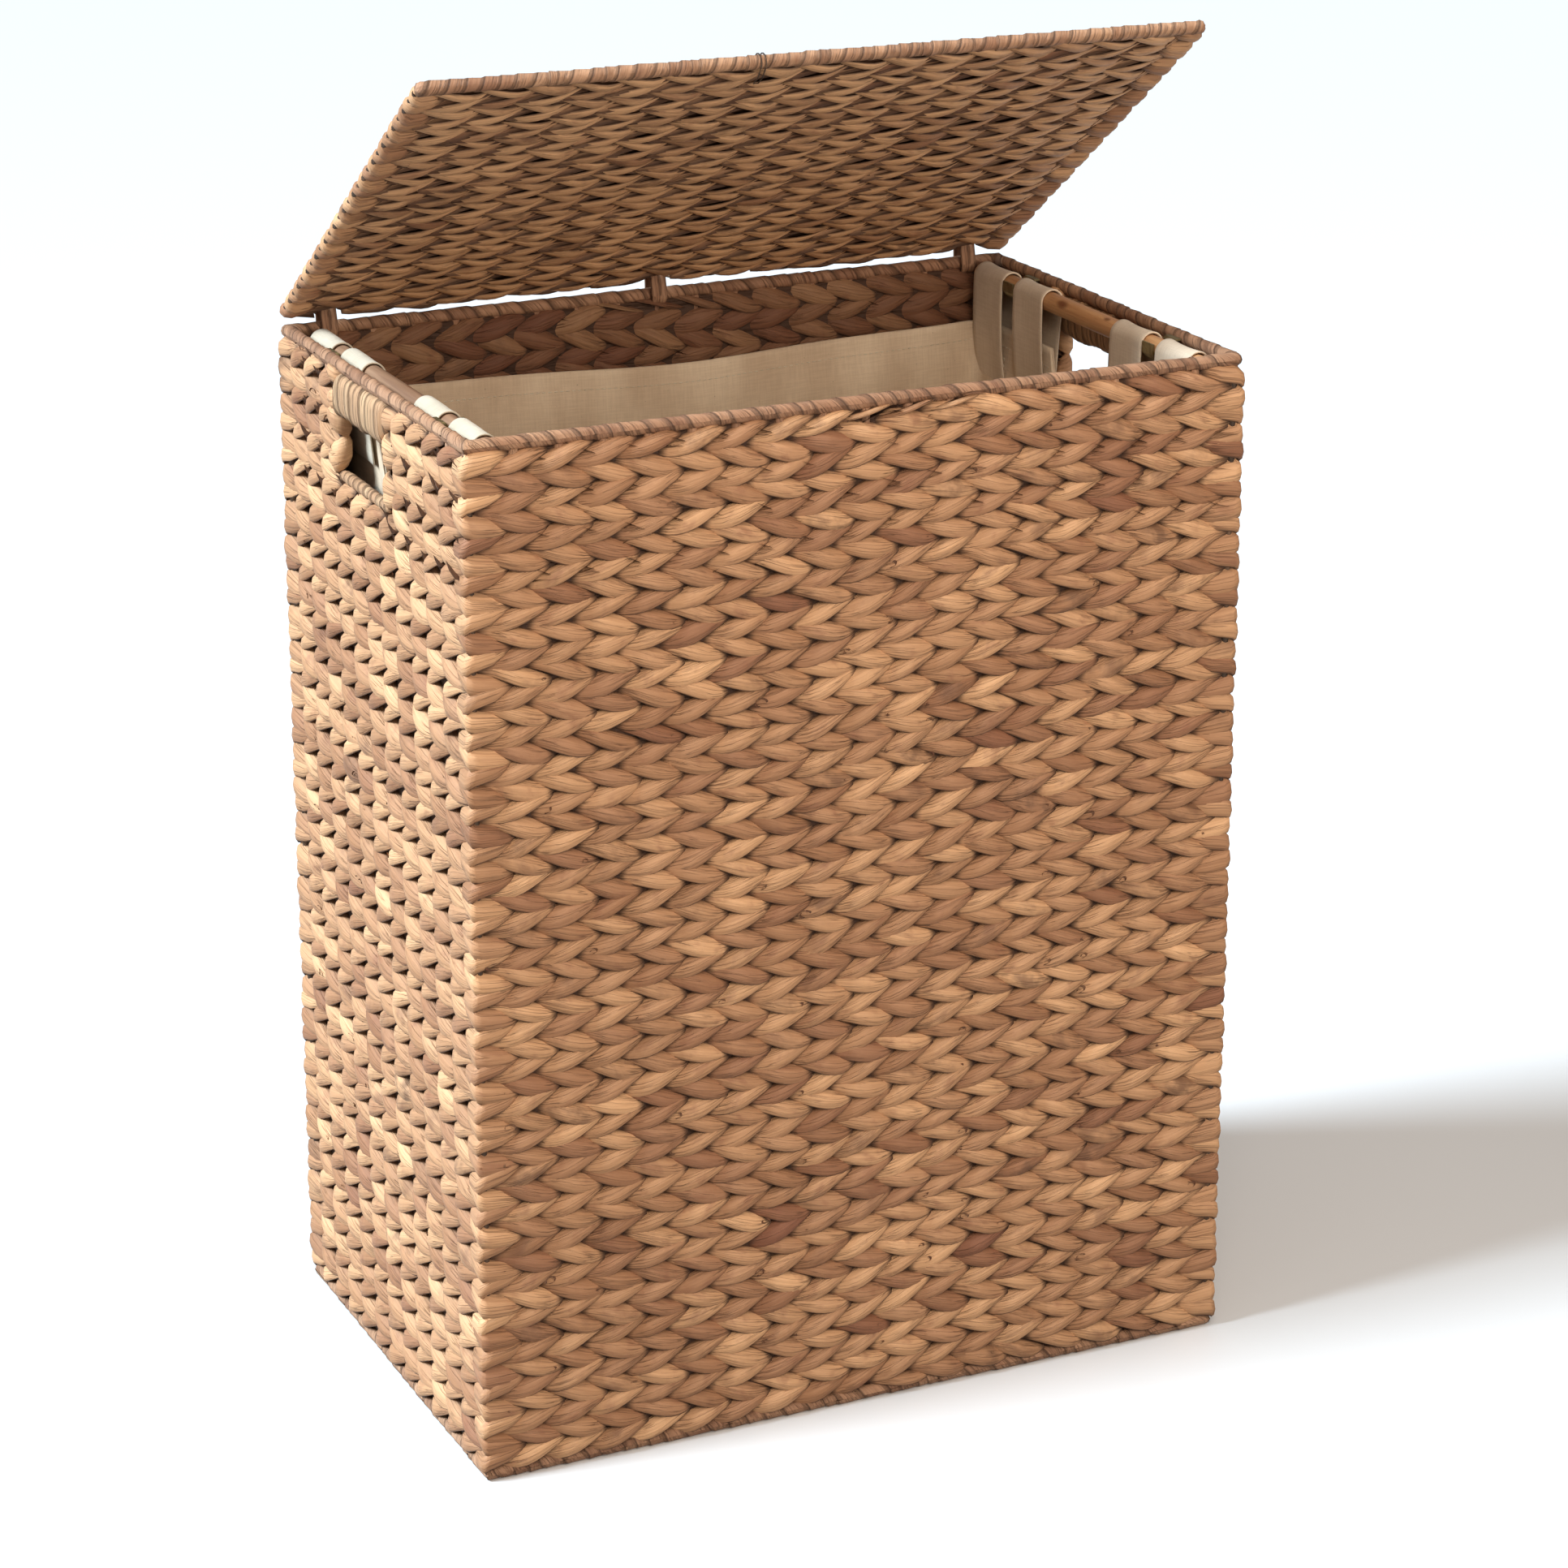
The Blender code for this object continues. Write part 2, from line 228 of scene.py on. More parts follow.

# %% [markdown]
# ### Dried leaf
#
# Water hyacinth dries to a papery, ribbed ribbon: long fibres, a few deep creases where the flat stalk
# folded, and blotches of red-brown. The creases and the edges, where a strand dips behind its neighbours,
# are darkened with painted shade. One recipe makes the wide strands of the weave, the browner strands
# inside, darkened as painted shade, the core between them, painted near black as shade, and the narrow
# strip that wraps the wires. They differ in colour and in how coarse the fibres are.


# %% The leaf recipe
def dried_leaf(name, pale, tan, red, fibre_across, painted_edge_shade, relief, tip_lines=1.0):
    leaf = Finish(name, roughness=0.62, specular=0.28)
    run = leaf.add("UVMap", {"uv_map": "fibre"}).outputs[0]
    shape = leaf.add("SeparateXYZ", Vector=leaf.add("UVMap", {"uv_map": "shape"}).outputs[0])
    tint = leaf.add("SeparateColor", Color=leaf.add("Attribute", {"attribute_name": "tint"}).outputs[0])

    fibres = leaf.noise(run, (40, fibre_across, 1), detail=4.0, rough=0.68)
    threads = leaf.noise(run, (26, fibre_across * 2.2, 1), detail=2.0, shift=(1.3, 6.1, 0))
    folds = leaf.noise(run, (16, fibre_across * 0.42, 1), detail=2.0, shift=(3.1, 1.7, 0))
    toward_tip = leaf.ramp(leaf.math("ABSOLUTE", shape.outputs[0]), 0.0, 0.85, tip_lines, 1.0)
    line = leaf.ramp(leaf.math("ABSOLUTE", leaf.math("SUBTRACT", folds, 0.5)), 0.0, 0.022, 1.0, 0.0)
    crease = leaf.math("MULTIPLY", line, toward_tip)
    blotch = leaf.noise(run, (75, 130, 1), detail=3.0, shift=(9.0, 4.0, 0))
    wrinkle = leaf.noise(run, (260, 60, 1), detail=2.0, shift=(5.0, 2.0, 0))

    body = leaf.mix(tint.outputs[0], tan, pale)
    body = leaf.mix(tint.outputs[1], body, red)
    body = leaf.mix(leaf.ramp(fibres, 0.32, 0.66, 0.30, 0.0), body, (0.34, 0.27, 0.23, 1), "MULTIPLY")
    fine_line = leaf.math("MULTIPLY", leaf.ramp(threads, 0.28, 0.44, 0.45, 0.0), toward_tip)
    body = leaf.mix(fine_line, body, (0.40, 0.27, 0.20, 1), "MULTIPLY")
    body = leaf.mix(leaf.ramp(blotch, 0.52, 0.78, 0.0, 0.55), body, red)
    # Painted shade: the colour darkens along the creases, where shade falls in the fold.
    body = leaf.mix(leaf.math("MULTIPLY", crease, 0.50), body, (0.16, 0.080, 0.045, 1))
    stain = leaf.math("MULTIPLY", leaf.ramp(blotch, 0.40, 0.62), tint.outputs[2])
    body = leaf.mix(leaf.math("MULTIPLY", stain, 0.75), body, (0.13, 0.065, 0.035, 1))
    # Painted shade: the colour darkens towards each strand's edges and tips, where it dips into the shaded
    # gaps behind its neighbours.
    across = leaf.math("ABSOLUTE", shape.outputs[1])
    along = leaf.math("ABSOLUTE", shape.outputs[0])
    rim = leaf.math("MAXIMUM", leaf.ramp(across, 0.60, 0.96), leaf.ramp(along, 0.74, 1.0))
    body = leaf.mix(leaf.math("MULTIPLY", rim, painted_edge_shade), body, (0.065, 0.031, 0.017, 1))
    leaf.colour(body)

    soft = leaf.bump(wrinkle, 0.0006 * relief, 0.55)
    ribs = leaf.bump(fibres, 0.0007 * relief, 0.8, under=soft)
    leaf.bump(leaf.math("SUBTRACT", 1.0, crease), 0.0009 * relief, 0.8, under=ribs)
    return leaf.material


strand_finish = dried_leaf("twined_strand", pale=(0.77, 0.445, 0.232, 1), tan=(0.39, 0.192, 0.094, 1),
                           red=(0.235, 0.090, 0.048, 1), fibre_across=1000, painted_edge_shade=0.90, relief=1.0,
                           tip_lines=0.30)
# Painted shade: the inside strands are a darker copy of the outer strand colours, for the inner face away
# from the light.
shaded_inside_finish = dried_leaf("inside_strand_painted_shade", pale=(0.43, 0.245, 0.125, 1), tan=(0.24, 0.116, 0.056, 1),
                           red=(0.165, 0.063, 0.033, 1), fibre_across=1000, painted_edge_shade=0.90, relief=1.0,
                           tip_lines=0.30)
# Painted shade: a near black-brown leaf colour for the cores, where shade falls deep between the strand
# faces.
painted_shade_core_finish = dried_leaf("strand_core_painted_shade", pale=(0.13, 0.070, 0.036, 1), tan=(0.085, 0.041, 0.021, 1),
                          red=(0.055, 0.022, 0.012, 1), fibre_across=1000, painted_edge_shade=0.90, relief=1.0)
wrap_finish = dried_leaf("wrapping_strip", pale=(0.62, 0.37, 0.22, 1), tan=(0.42, 0.225, 0.125, 1),
                         red=(0.20, 0.082, 0.045, 1), fibre_across=1300, painted_edge_shade=0.75, relief=0.8)
grip_finish = dried_leaf("grip_strip", pale=(0.74, 0.50, 0.29, 1), tan=(0.58, 0.36, 0.195, 1),
                         red=(0.40, 0.20, 0.105, 1), fibre_across=1100, painted_edge_shade=0.40, relief=1.2)
print("leaf finishes:", *(leaf.name for leaf in (strand_finish, shaded_inside_finish, painted_shade_core_finish, wrap_finish,
                                                 grip_finish)))

# %% [markdown]
# ### Cloth, wood and metal
#
# The liner is plain-woven cotton canvas: two fine waves at right angles make the threads, and a slow
# noise makes the slubs and the faint marks of folding, both as bumps and as painted shade that darkens
# the cloth in soft patches. The rods are pine, with rings stretched along the rod and a few knots. The
# hooks are dull bronze strip, and the bare wires are dark lacquered steel.


# %% Canvas
def canvas(name, light, shade, thread, fold_marks):
    cloth = Finish(name, roughness=0.88, specular=0.15)
    cloth.shader.inputs["Sheen Weight"].default_value = 0.12
    run = cloth.add("UVMap", {"uv_map": "fibre"}).outputs[0]
    split = cloth.add("SeparateXYZ", Vector=run)
    turns = 2 * math.pi / thread
    warp = cloth.math("SINE", cloth.math("MULTIPLY", split.outputs[0], turns))
    weft = cloth.math("SINE", cloth.math("MULTIPLY", split.outputs[1], turns))
    weave = cloth.math("MULTIPLY", warp, weft)
    slub = cloth.noise(run, (900, 60, 1), detail=2.0)
    cross = cloth.noise(run, (60, 900, 1), detail=2.0, shift=(4, 4, 0))
    marks = cloth.noise(run, (26, 11, 1), detail=2.5, shift=(2, 7, 0))
    # Painted shade: the slow marks noise mixes the cloth between its light and shade colours, standing in for
    # the shading of soft folds.
    body = cloth.mix(cloth.ramp(marks, 0.3, 0.7), shade, light)
    threads = cloth.math("ADD", cloth.math("MULTIPLY", slub, 0.5), cloth.math("MULTIPLY", cross, 0.5))
    body = cloth.mix(cloth.ramp(threads, 0.38, 0.62, 0.17, 0.0), body, (0.45, 0.36, 0.26, 1), "MULTIPLY")
    speck = cloth.ramp(cloth.noise(run, (420, 420, 1), detail=1.0, shift=(1, 9, 0)), 0.74, 0.80, 0.0, 0.4)
    cloth.colour(cloth.mix(speck, body, (0.16, 0.10, 0.06, 1)))
    creased = cloth.bump(marks, fold_marks, 0.6)
    fine = cloth.bump(threads, 0.0004, 0.5, under=creased)
    cloth.bump(weave, 0.00012, 0.6, under=fine)
    return cloth.material


liner_finish = canvas("liner_canvas", (0.82, 0.66, 0.475, 1), (0.66, 0.50, 0.345, 1), 0.0009, 0.006)
# Painted shade: the left loops, which hang in the strong daylight, get a darker copy of the loop cotton to
# hold back the light.
painted_shade_loop_finish = canvas("loop_cotton_painted_shade", (0.60, 0.52, 0.40, 1), (0.50, 0.42, 0.31, 1), 0.0008, 0.0025)
loop_shade_finish = canvas("loop_canvas", (0.76, 0.63, 0.48, 1), (0.66, 0.53, 0.39, 1), 0.0008, 0.0015)
thread_finish = canvas("stitch_thread", (0.80, 0.72, 0.58, 1), (0.70, 0.60, 0.45, 1), 0.0005, 0.0002)


# %% Pine rod
def pine(name, light, dark, knot_places):
    wood = Finish(name, roughness=0.48, specular=0.35)
    where = wood.add("TexCoord").outputs["Object"]
    streak = wood.noise(where, (260, 9, 260), detail=4.0, rough=0.6)
    rings = wood.noise(where, (90, 4, 90), detail=1.0, shift=(2, 0, 5))
    pores = wood.noise(where, (1500, 130, 1500), detail=2.0)
    body = wood.mix(wood.ramp(streak, 0.30, 0.70), dark, light)
    body = wood.mix(wood.ramp(rings, 0.52, 0.60, 0.0, 0.5), body, dark)
    body = wood.mix(wood.ramp(pores, 0.55, 0.75, 0.0, 0.3), body, (0.20, 0.09, 0.04, 1))
    for place, size in knot_places:
        near = wood.add("VectorMath", {"operation": "DISTANCE"}, i0=wood.add(
            "Mapping", Vector=where, Scale=(1, 0.45, 1), Location=(-place[0], -place[1] * 0.45, -place[2])
        ).outputs[0], i1=(0, 0, 0)).outputs["Value"]
        body = wood.mix(wood.ramp(near, size * 0.5, size * 1.8, 0.85, 0.0), body, (0.16, 0.05, 0.02, 1))
    wood.colour(body)
    wood.bump(streak, 0.0003, 0.5)
    return wood.material


pale_pine = pine("pale_pine", (0.62, 0.35, 0.16, 1), (0.43, 0.20, 0.085, 1),
                 [((0.2125, 0.022, 0.6050), 0.0022), ((0.2150, -0.030, 0.6060), 0.0012)])
dark_pine = pine("dark_pine", (0.31, 0.18, 0.105, 1), (0.15, 0.075, 0.042, 1),
                 [((-0.2150, -0.012, 0.6065), 0.0014)])


# %% Metal strip and bare wire
def metal(name, base, worn, roughness):
    steel = Finish(name, roughness=roughness, metallic=0.85)
    where = steel.add("TexCoord").outputs["Object"]
    cloud = steel.noise(where, (220, 220, 220), detail=3.0)
    steel.colour(steel.mix(steel.ramp(cloud, 0.4, 0.68), base, worn))
    steel.bump(steel.noise(where, (900, 900, 900), detail=2.0), 0.0001, 0.5)
    return steel.material


hook_finish = metal("bronze_strip", (0.30, 0.25, 0.13, 1), (0.19, 0.145, 0.07, 1), 0.42)
wire_finish = metal("dark_wire", (0.055, 0.036, 0.025, 1), (0.13, 0.075, 0.045, 1), 0.6)
print("cloth, wood and metal finishes ready")

# %% [markdown]
# ## One sheet, many shapes
#
# A strand, a turn of wrapping and a cloth wall are all a flat grid of faces that has been bent. So there
# is one helper: it makes a grid with Blender's own operator, hands each point's place on the grid to a
# function that bends it, and welds the points that come together, which closes tubes and tips. It keeps
# the place on the grid as the two UV maps that the materials read.


# %% Bend a grid into a skin
def skin(name, along, across, bend, fibre, finish, shape=None, tint=None, weld=1e-5, body="basket"):
    """bend, fibre, shape and tint take u and v, each from 0 to 1, as arrays."""
    grid = bmesh.new()
    bmesh.ops.create_grid(grid, x_segments=along, y_segments=across, size=0.5)
    spots = np.array([v.co[:2] for v in grid.verts]) + 0.5
    places = bend(spots[:, 0], spots[:, 1])
    maps = {"fibre": fibre(spots[:, 0], spots[:, 1]),
            "shape": shape(spots[:, 0], spots[:, 1]) if shape else np.zeros((len(spots), 2))}
    for key, values in maps.items():
        layer = grid.loops.layers.uv.new(key)
        for face in grid.faces:
            for corner in face.loops:
                corner[layer].uv = values[corner.vert.index]
    for vert, place in zip(grid.verts, places):
        vert.co = place
    if tint:
        layer = grid.verts.layers.float_color.new("tint")
        for vert, shade in zip(grid.verts, tint(spots[:, 0], spots[:, 1])):
            vert[layer] = (*shade, 1.0)
    if weld:
        bmesh.ops.remove_doubles(grid, verts=grid.verts, dist=weld)
    return finish_piece(name, grid, finish, body)


def finish_piece(name, shape, finish, body="basket", smooth=True):
    """Turn a bmesh into a piece that rides on a body."""
    mesh = bpy.data.meshes.new(name)
    shape.to_mesh(mesh)
    shape.free()
    if smooth:
        mesh.shade_smooth()
    piece = bpy.data.objects.new(name, mesh)
    bpy.context.scene.collection.objects.link(piece)
    mesh.materials.append(finish)
    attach(piece, body)
    return piece


def give_tint(piece, values):
    """Store one colour for each point: lightness, redness and stain."""
    layer = piece.data.attributes.new("tint", "FLOAT_COLOR", "POINT")
    full = np.ones((len(piece.data.vertices), 4), dtype=np.float32)
    full[:, :3] = values
    layer.data.foreach_set("color", full.ravel())


def plain_maps(shape, fibre, edge):
    """The two maps for a plain solid: fibre(x, y, z) is a place along the leaf, edge is one for all."""
    for key in ("fibre", "shape"):
        layer = shape.loops.layers.uv.new(key)
        for face in shape.faces:
            for corner in face.loops:
                corner[layer].uv = fibre(*corner.vert.co) if key == "fibre" else edge


def thicken(piece, thickness, offset=0.0):
    """Give a skin the thickness of its cloth or strip."""
    solid = piece.modifiers.new("thickness", "SOLIDIFY")
    solid.thickness, solid.offset = thickness, offset


def ease(x, low, high):
    """A soft step from 0 at low to 1 at high."""
    x = np.clip((x - low) / (high - low), 0.0, 1.0)
    return x * x * (3 - 2 * x)


# Shape spot and tint for the plain solid cores: near an edge everywhere and darkest, so they carry painted
# shade.
SHADE_EDGE_SPOT, PAINTED_SHADE_TINT = (0.9, 0.9), (0.0, 0.9, 0.6)
print("skin helpers ready")

# %% [markdown]
# ## A walk round the wall
#
# The strands run round the basket without a break, bending at each corner post. `on_wall` takes the
# distance walked along the middle of the walls, from the front left corner towards the right, how far
# out from the middle the point lies, and its height. At the corners the walk follows a small arc.


# %% Points on the four walls
LENGTHS = np.array([2 * MID_X, 2 * MID_Y, 2 * MID_X, 2 * MID_Y])
STARTS = np.concatenate([[0.0], np.cumsum(LENGTHS)[:-1]])
ROUND = LENGTHS.sum()
CORNERS = np.array([(-MID_X, -MID_Y), (MID_X, -MID_Y), (MID_X, MID_Y), (-MID_X, MID_Y)])
ALONG = np.array([(1, 0), (0, 1), (-1, 0), (0, -1)], dtype=float)
OUTWARD = np.stack([ALONG[:, 1], -ALONG[:, 0]], axis=1)


def on_wall(walk, out, height):
    walk, out, height = np.broadcast_arrays(walk, out, height)
    walk = np.mod(walk, ROUND)
    side = np.searchsorted(STARTS, walk, side="right") - 1
    past, left = walk - STARTS[side], STARTS[side] + LENGTHS[side] - walk
    near, from_start = np.minimum(past, left), past < left
    bend = np.clip(0.0042 + (out - WALL / 2) * 0.6, 0.0008, None)
    turn = np.clip(1 - 2 * near / CORNER, 0, 1) * math.pi / 4 * np.where(from_start, -1, 1)
    blend = np.clip(2 * near / CORNER - 1, 0, 1)
    reach = np.where(near < CORNER, (bend - out) * (1 - blend) + CORNER * blend, near)
    reach = np.where(from_start, reach, LENGTHS[side] - reach)[..., None]
    centre = CORNERS[side] + reach * ALONG[side] + (out - bend)[..., None] * OUTWARD[side]
    facing = np.cos(turn)[..., None] * OUTWARD[side] + np.sin(turn)[..., None] * ALONG[side]
    flat = centre + bend[..., None] * facing
    return np.concatenate([flat, height[..., None]], axis=-1)


# Walks of the stakes, and of a place on the short sides given by its Y
STAKES = np.concatenate([start + length * np.arange(count) / count for start, length, count in zip(
    STARTS, LENGTHS, (FRONT_STAKES, SIDE_STAKES) * 2)])


def side_walk(side, y):
    return STARTS[1] + y + MID_Y if side == "right" else STARTS[3] + MID_Y - y


print(len(STAKES), "stakes round a wall of", round(float(ROUND), 3), "m")

# %% [markdown]
# ## The strand as one leaf
#
# In twined weaving two strands pass each stake, one outside and one inside, and swap after it, like a
# two-ply rope laid round the basket. What shows at each stake is one leaf: fat in the middle, where it
# crosses the stake, and pinched at both tips, where it dives behind its neighbours. A leaf is one small
# grid of forty faces, because there are thousands. `leaf` gives a point's distance along the wall, its
# distance out, and its height, for every leaf at once. The sign of `slant` turns the twist round.


# %% The unit leaf and its curve
LEAF_ALONG, LEAF_ACROSS = 8, 5
unit = bmesh.new()
bmesh.ops.create_grid(unit, x_segments=LEAF_ALONG, y_segments=LEAF_ACROSS, size=1.0)
unit_mesh = bpy.data.meshes.new("unit_leaf")
unit.to_mesh(unit_mesh)
unit.free()
UNIT = np.array([v.co[:2] for v in unit_mesh.vertices])
LEAF_U, LEAF_V = UNIT[:, 0], UNIT[:, 1]


def leaf(half_long, slant, thick, plump=1.0, full=0.0069):
    """Each argument but u and v is one number a leaf, in a column."""
    n = len(slant)
    vary = lambda low, high: rng.uniform(low, high, (n, 1))
    u = LEAF_U[None, :] * np.ones((n, 1))
    v = LEAF_V[None, :] * np.ones((n, 1))
    half_wide = full * plump * vary(0.84, 1.12) * np.where(
        u < 0, np.cos(math.pi / 2 * 0.78 * u) ** 0.62, np.cos(math.pi / 2 * 0.91 * u) ** 0.78)
    half_wide = half_wide * (1 + vary(-0.14, 0.14) * u)
    lean = 0.0043 * vary(0.75, 1.2) * slant * np.sin(math.pi / 2 * u)
    bow = vary(-0.0009, 0.0009) * (1 - u ** 2)
    crown = np.where(v > 0, 0.0076, 0.0024) * (1 - np.cos(math.pi / 2 * v)) * (half_wide / full)
    ridge = np.where(u < 0, np.cos(math.pi / 2 * 0.87 * u) ** 1.2, np.cos(math.pi / 2 * 0.76 * u) ** 1.05)
    out = -0.0012 + (thick + 0.0010) * vary(0.92, 1.05) * ridge - crown
    out = out - vary(0.0003, 0.0012) * v
    along = half_long * (u + vary(-0.04, 0.04)) + 0.18 * slant * half_wide * v
    up = lean + bow + half_wide * np.sin(math.pi / 2 * v)
    return along, out, up


print(len(unit_mesh.polygons), "faces in one leaf")

# %% [markdown]
# Laying the leaves copies the unit leaf once for each place, inside one bmesh, and then moves every
# point to the place that the curve gave it. Each leaf also gets its own stretch of the fibre pattern and
# its own tint, so that no two match. Most are tan, some are pale and some red-brown, as bundles of
# strands from different plants are.


# %% Lay many leaves as one piece
def lay(name, points, finish, body="basket", pale=0.45, reddish=0.3):
    """points is an array of leaves by points by three; pale and reddish shift the mix of strands."""
    count, size = points.shape[:2]
    heap = bmesh.new()
    for _ in range(count):
        heap.from_mesh(unit_mesh)
    piece = finish_piece(name, heap, finish, body)
    mesh = piece.data
    mesh.vertices.foreach_set("co", points.reshape(-1).astype(np.float32))
    of_corner = np.zeros(len(mesh.loops), dtype=np.int32)
    mesh.loops.foreach_get("vertex_index", of_corner)
    which, spot = of_corner // size, of_corner % size
    shift = rng.uniform(0, 40, (count, 2))
    fibre = np.stack([0.018 * UNIT[spot, 0], 0.0065 * UNIT[spot, 1]], axis=1) + shift[which]
    for key, values in (("fibre", fibre), ("shape", UNIT[spot])):
        layer = mesh.uv_layers.new(name=key)
        layer.data.foreach_set("uv", values.reshape(-1).astype(np.float32))
    light = np.clip(rng.normal(pale, 0.26, count), 0, 1)
    red = np.clip(rng.normal(reddish - 0.18, 0.24, count), 0, 0.9)
    stain = np.clip(rng.normal(-0.25, 0.42, count), 0, 1)
    give_tint(piece, np.repeat(np.stack([light, red, stain], axis=1), size, axis=0))
    mesh.update()
    print(f"{name}: {count} leaves")
    return piece


# %% [markdown]
# ## The four walls
#
# The rows climb by one row near the middle of the front and again at the back, because the weaver works
# upward in a spiral. That is why the slant of the top row changes halfway along the front. Every other
# row slants the other way, which draws the chevrons. A leaf that meets the rim is squeezed thinner.


# %% Where the rows run
ROWS = np.arange(-2, int((TOP - LOW) / ROW) + 1)
HEIGHT_CAP = TOP + 0.0040


def row_height(row, walk):
    """Height of a row's middle line, which steps up one row near the middle of the front and the back."""
    at_front = ease(walk, MID_X - 0.055, MID_X + 0.085)
    at_back = ease(walk, STARTS[2] + MID_X - 0.07, STARTS[2] + MID_X + 0.07)
    climb = at_front + at_back
    return LOW + 0.0002 + ROW * (row + 0.5 + climb)


def in_hole(walk, height, margin=0.0):
    """True for leaves that the hand holes leave no room for."""
    inside = np.zeros(walk.shape, dtype=bool)
    for side in ("left", "right"):
        ends = sorted((side_walk(side, HOLE_Y[0] - 0.007), side_walk(side, HOLE_Y[1] + 0.004)))
        inside |= (walk > ends[0] - margin) & (walk < ends[1] + margin)
    return inside & (height > HOLE_Z[0] - 0.0095)


def wall_leaves(stakes, inner=False, above=0.0):
    """Points of every leaf at the given stakes, outside or inside."""
    stake, row = (grid.ravel() for grid in np.meshgrid(stakes, ROWS))
    centre = row_height(row, stake)
    gap = np.where(((stake >= STARTS[1]) & (stake < STARTS[2])) | (stake >= STARTS[3]),
                   LENGTHS[1] / SIDE_STAKES, LENGTHS[0] / FRONT_STAKES)
    keep = (centre > LOW + 0.0012) & (centre < TOP + 0.0050) & ~in_hole(stake, centre) & (centre > above)
    stake, row, centre, gap = (x[keep][:, None] for x in (stake, row, centre, gap))
    lowered = np.minimum(centre, TOP - 0.0012) - centre
    at_corner = np.min(abs(stake - STARTS[None, :]), axis=1, keepdims=True) < 1e-6
    room = np.minimum(TOP + 0.0012 - centre, centre - LOW + 0.0030) / 0.0066
    swell = np.where(at_corner, 1.18, np.where(gap < 0.025, 1.08, 1.0)) * (1.12 if inner else 1.0)
    slant = np.where(row % 2 == 0, 1.0, -1.0)
    along, out, up = leaf(gap * np.where(at_corner, 0.86, 0.76), slant, WALL / 2 - 0.0003,
                          plump=np.clip(room, 0.42, 1.0) * swell)
    up = up * np.clip(room * 1.2, 0.5, 1.0)
    if inner:
        along, out = -along, -out
    walk = stake + along
    height = row_height(row, walk) + lowered + up
    return on_wall(walk, out, np.clip(height, LOW - 0.004, HEIGHT_CAP))


FRONT_SET = STAKES[(STAKES < STARTS[1] + 1e-6)]
RIGHT_SET = STAKES[(STAKES > STARTS[1] + 1e-6) & (STAKES < STARTS[2] - 1e-6)]
BACK_SET = STAKES[(STAKES > STARTS[2] - 1e-6) & (STAKES < STARTS[3] + 1e-6)]
LEFT_SET = STAKES[(STAKES > STARTS[3] + 1e-6)]

# %% Lay the outer faces
for side, stakes in (("front", FRONT_SET), ("right", RIGHT_SET), ("back", BACK_SET), ("left", LEFT_SET)):
    piece = lay("strands_" + side, wall_leaves(stakes), strand_finish)
    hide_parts("weave_" + side)

# %% [markdown]
# The inner face shows only above the liner, so only the upper rows are laid there. They are the same
# leaves turned half round about the stake, which keeps the hand of the twist, in a darker and redder
# finish that is painted shade for the inner face. A thin dark core between the two faces stands for the
# strands that cross inside the wall, and stops light showing through; its near black-brown is painted
# shade.

# %% Lay the inner faces and the core
MIDDLE_STAKES = np.array([s for s in STAKES if min(abs(s - STARTS)) > 1e-6])
INNER_FROM = 0.520
# The low pale share and high reddish share darken the inside leaves further, as painted shade.
lay("strands_inside", wall_leaves(MIDDLE_STAKES, inner=True, above=INNER_FROM), shaded_inside_finish, reddish=0.60,
    pale=0.12)

# The core, the lid's core and the plate under the base are coloured near black-brown as painted shade.
CORE_THICK = 0.0022
CORE_TALL = TOP + 0.0006 - LOW
core = bmesh.new()
bmesh.ops.create_grid(core, x_segments=120, y_segments=60, size=0.5)
spots = np.array([v.co[:2] for v in core.verts]) + 0.5
places = on_wall(spots[:, 0] * ROUND, 0.0, LOW + spots[:, 1] * CORE_TALL)
gone = []
for face in core.faces:
    centre = face.calc_center_median()
    if in_hole(np.array((centre.x + 0.5) * ROUND), LOW + (centre.y + 0.5) * CORE_TALL - 0.004, margin=0.004):
        gone.append(face)
for vert, place in zip(core.verts, places):
    vert.co = place
bmesh.ops.delete(core, geom=gone, context="FACES")
bmesh.ops.remove_doubles(core, verts=core.verts, dist=1e-5)
bmesh.ops.solidify(core, geom=core.faces, thickness=CORE_THICK)
plain_maps(core, lambda x, y, z: (x + y, z), SHADE_EDGE_SPOT)
core_piece = finish_piece("strand_core", core, painted_shade_core_finish)
give_tint(core_piece, PAINTED_SHADE_TINT)
print("core:", len(core_piece.data.polygons), "faces")

# %% [markdown]
# ## Stray ends
#
# New strands are let in all the time, and their ends poke out between the rows: short dark curls a few
# millimetres long. They are the same unit leaf again, made very narrow and rolled up. None are left
# under the hinge, where the lid comes to rest when it is folded back.

# %% Scatter the stray ends
CURLS, CURL_STEP = 330, 0.0259
curl_walk = rng.uniform(0, ROUND, (CURLS, 1))
curl_row = np.round((rng.uniform(0.02, 0.585, (CURLS, 1)) - LOW) / ROW)
curl_long, curl_turn = rng.uniform(0.0012, 0.0034, (CURLS, 1)), rng.uniform(2.0, 5.0, (CURLS, 1))
heading = rng.choice([-1.0, 1.0], (CURLS, 1))
reach = (LEAF_U[None, :] + 1) / 2
curl_at = np.round(curl_walk / CURL_STEP) * CURL_STEP + 0.0125 + rng.uniform(-0.003, 0.003, (CURLS, 1))
curl_along = curl_at + heading * curl_long * np.sin(curl_turn * reach) + 0.00035 * LEAF_V
curl_out = 0.0036 + curl_long * reach * 0.9 + 0.0004 * LEAF_V
curl_up = row_height(curl_row, curl_at) + 0.0054
curl_up = curl_up + curl_long * 0.8 * (1 - np.cos(curl_turn * reach)) + 0.0005 * LEAF_V
curls = on_wall(curl_along, curl_out, curl_up)
under_hinge = (curls[:, 0, 1] > MID_Y - 0.010) & (curls[:, 0, 2] > TOP - 0.060)
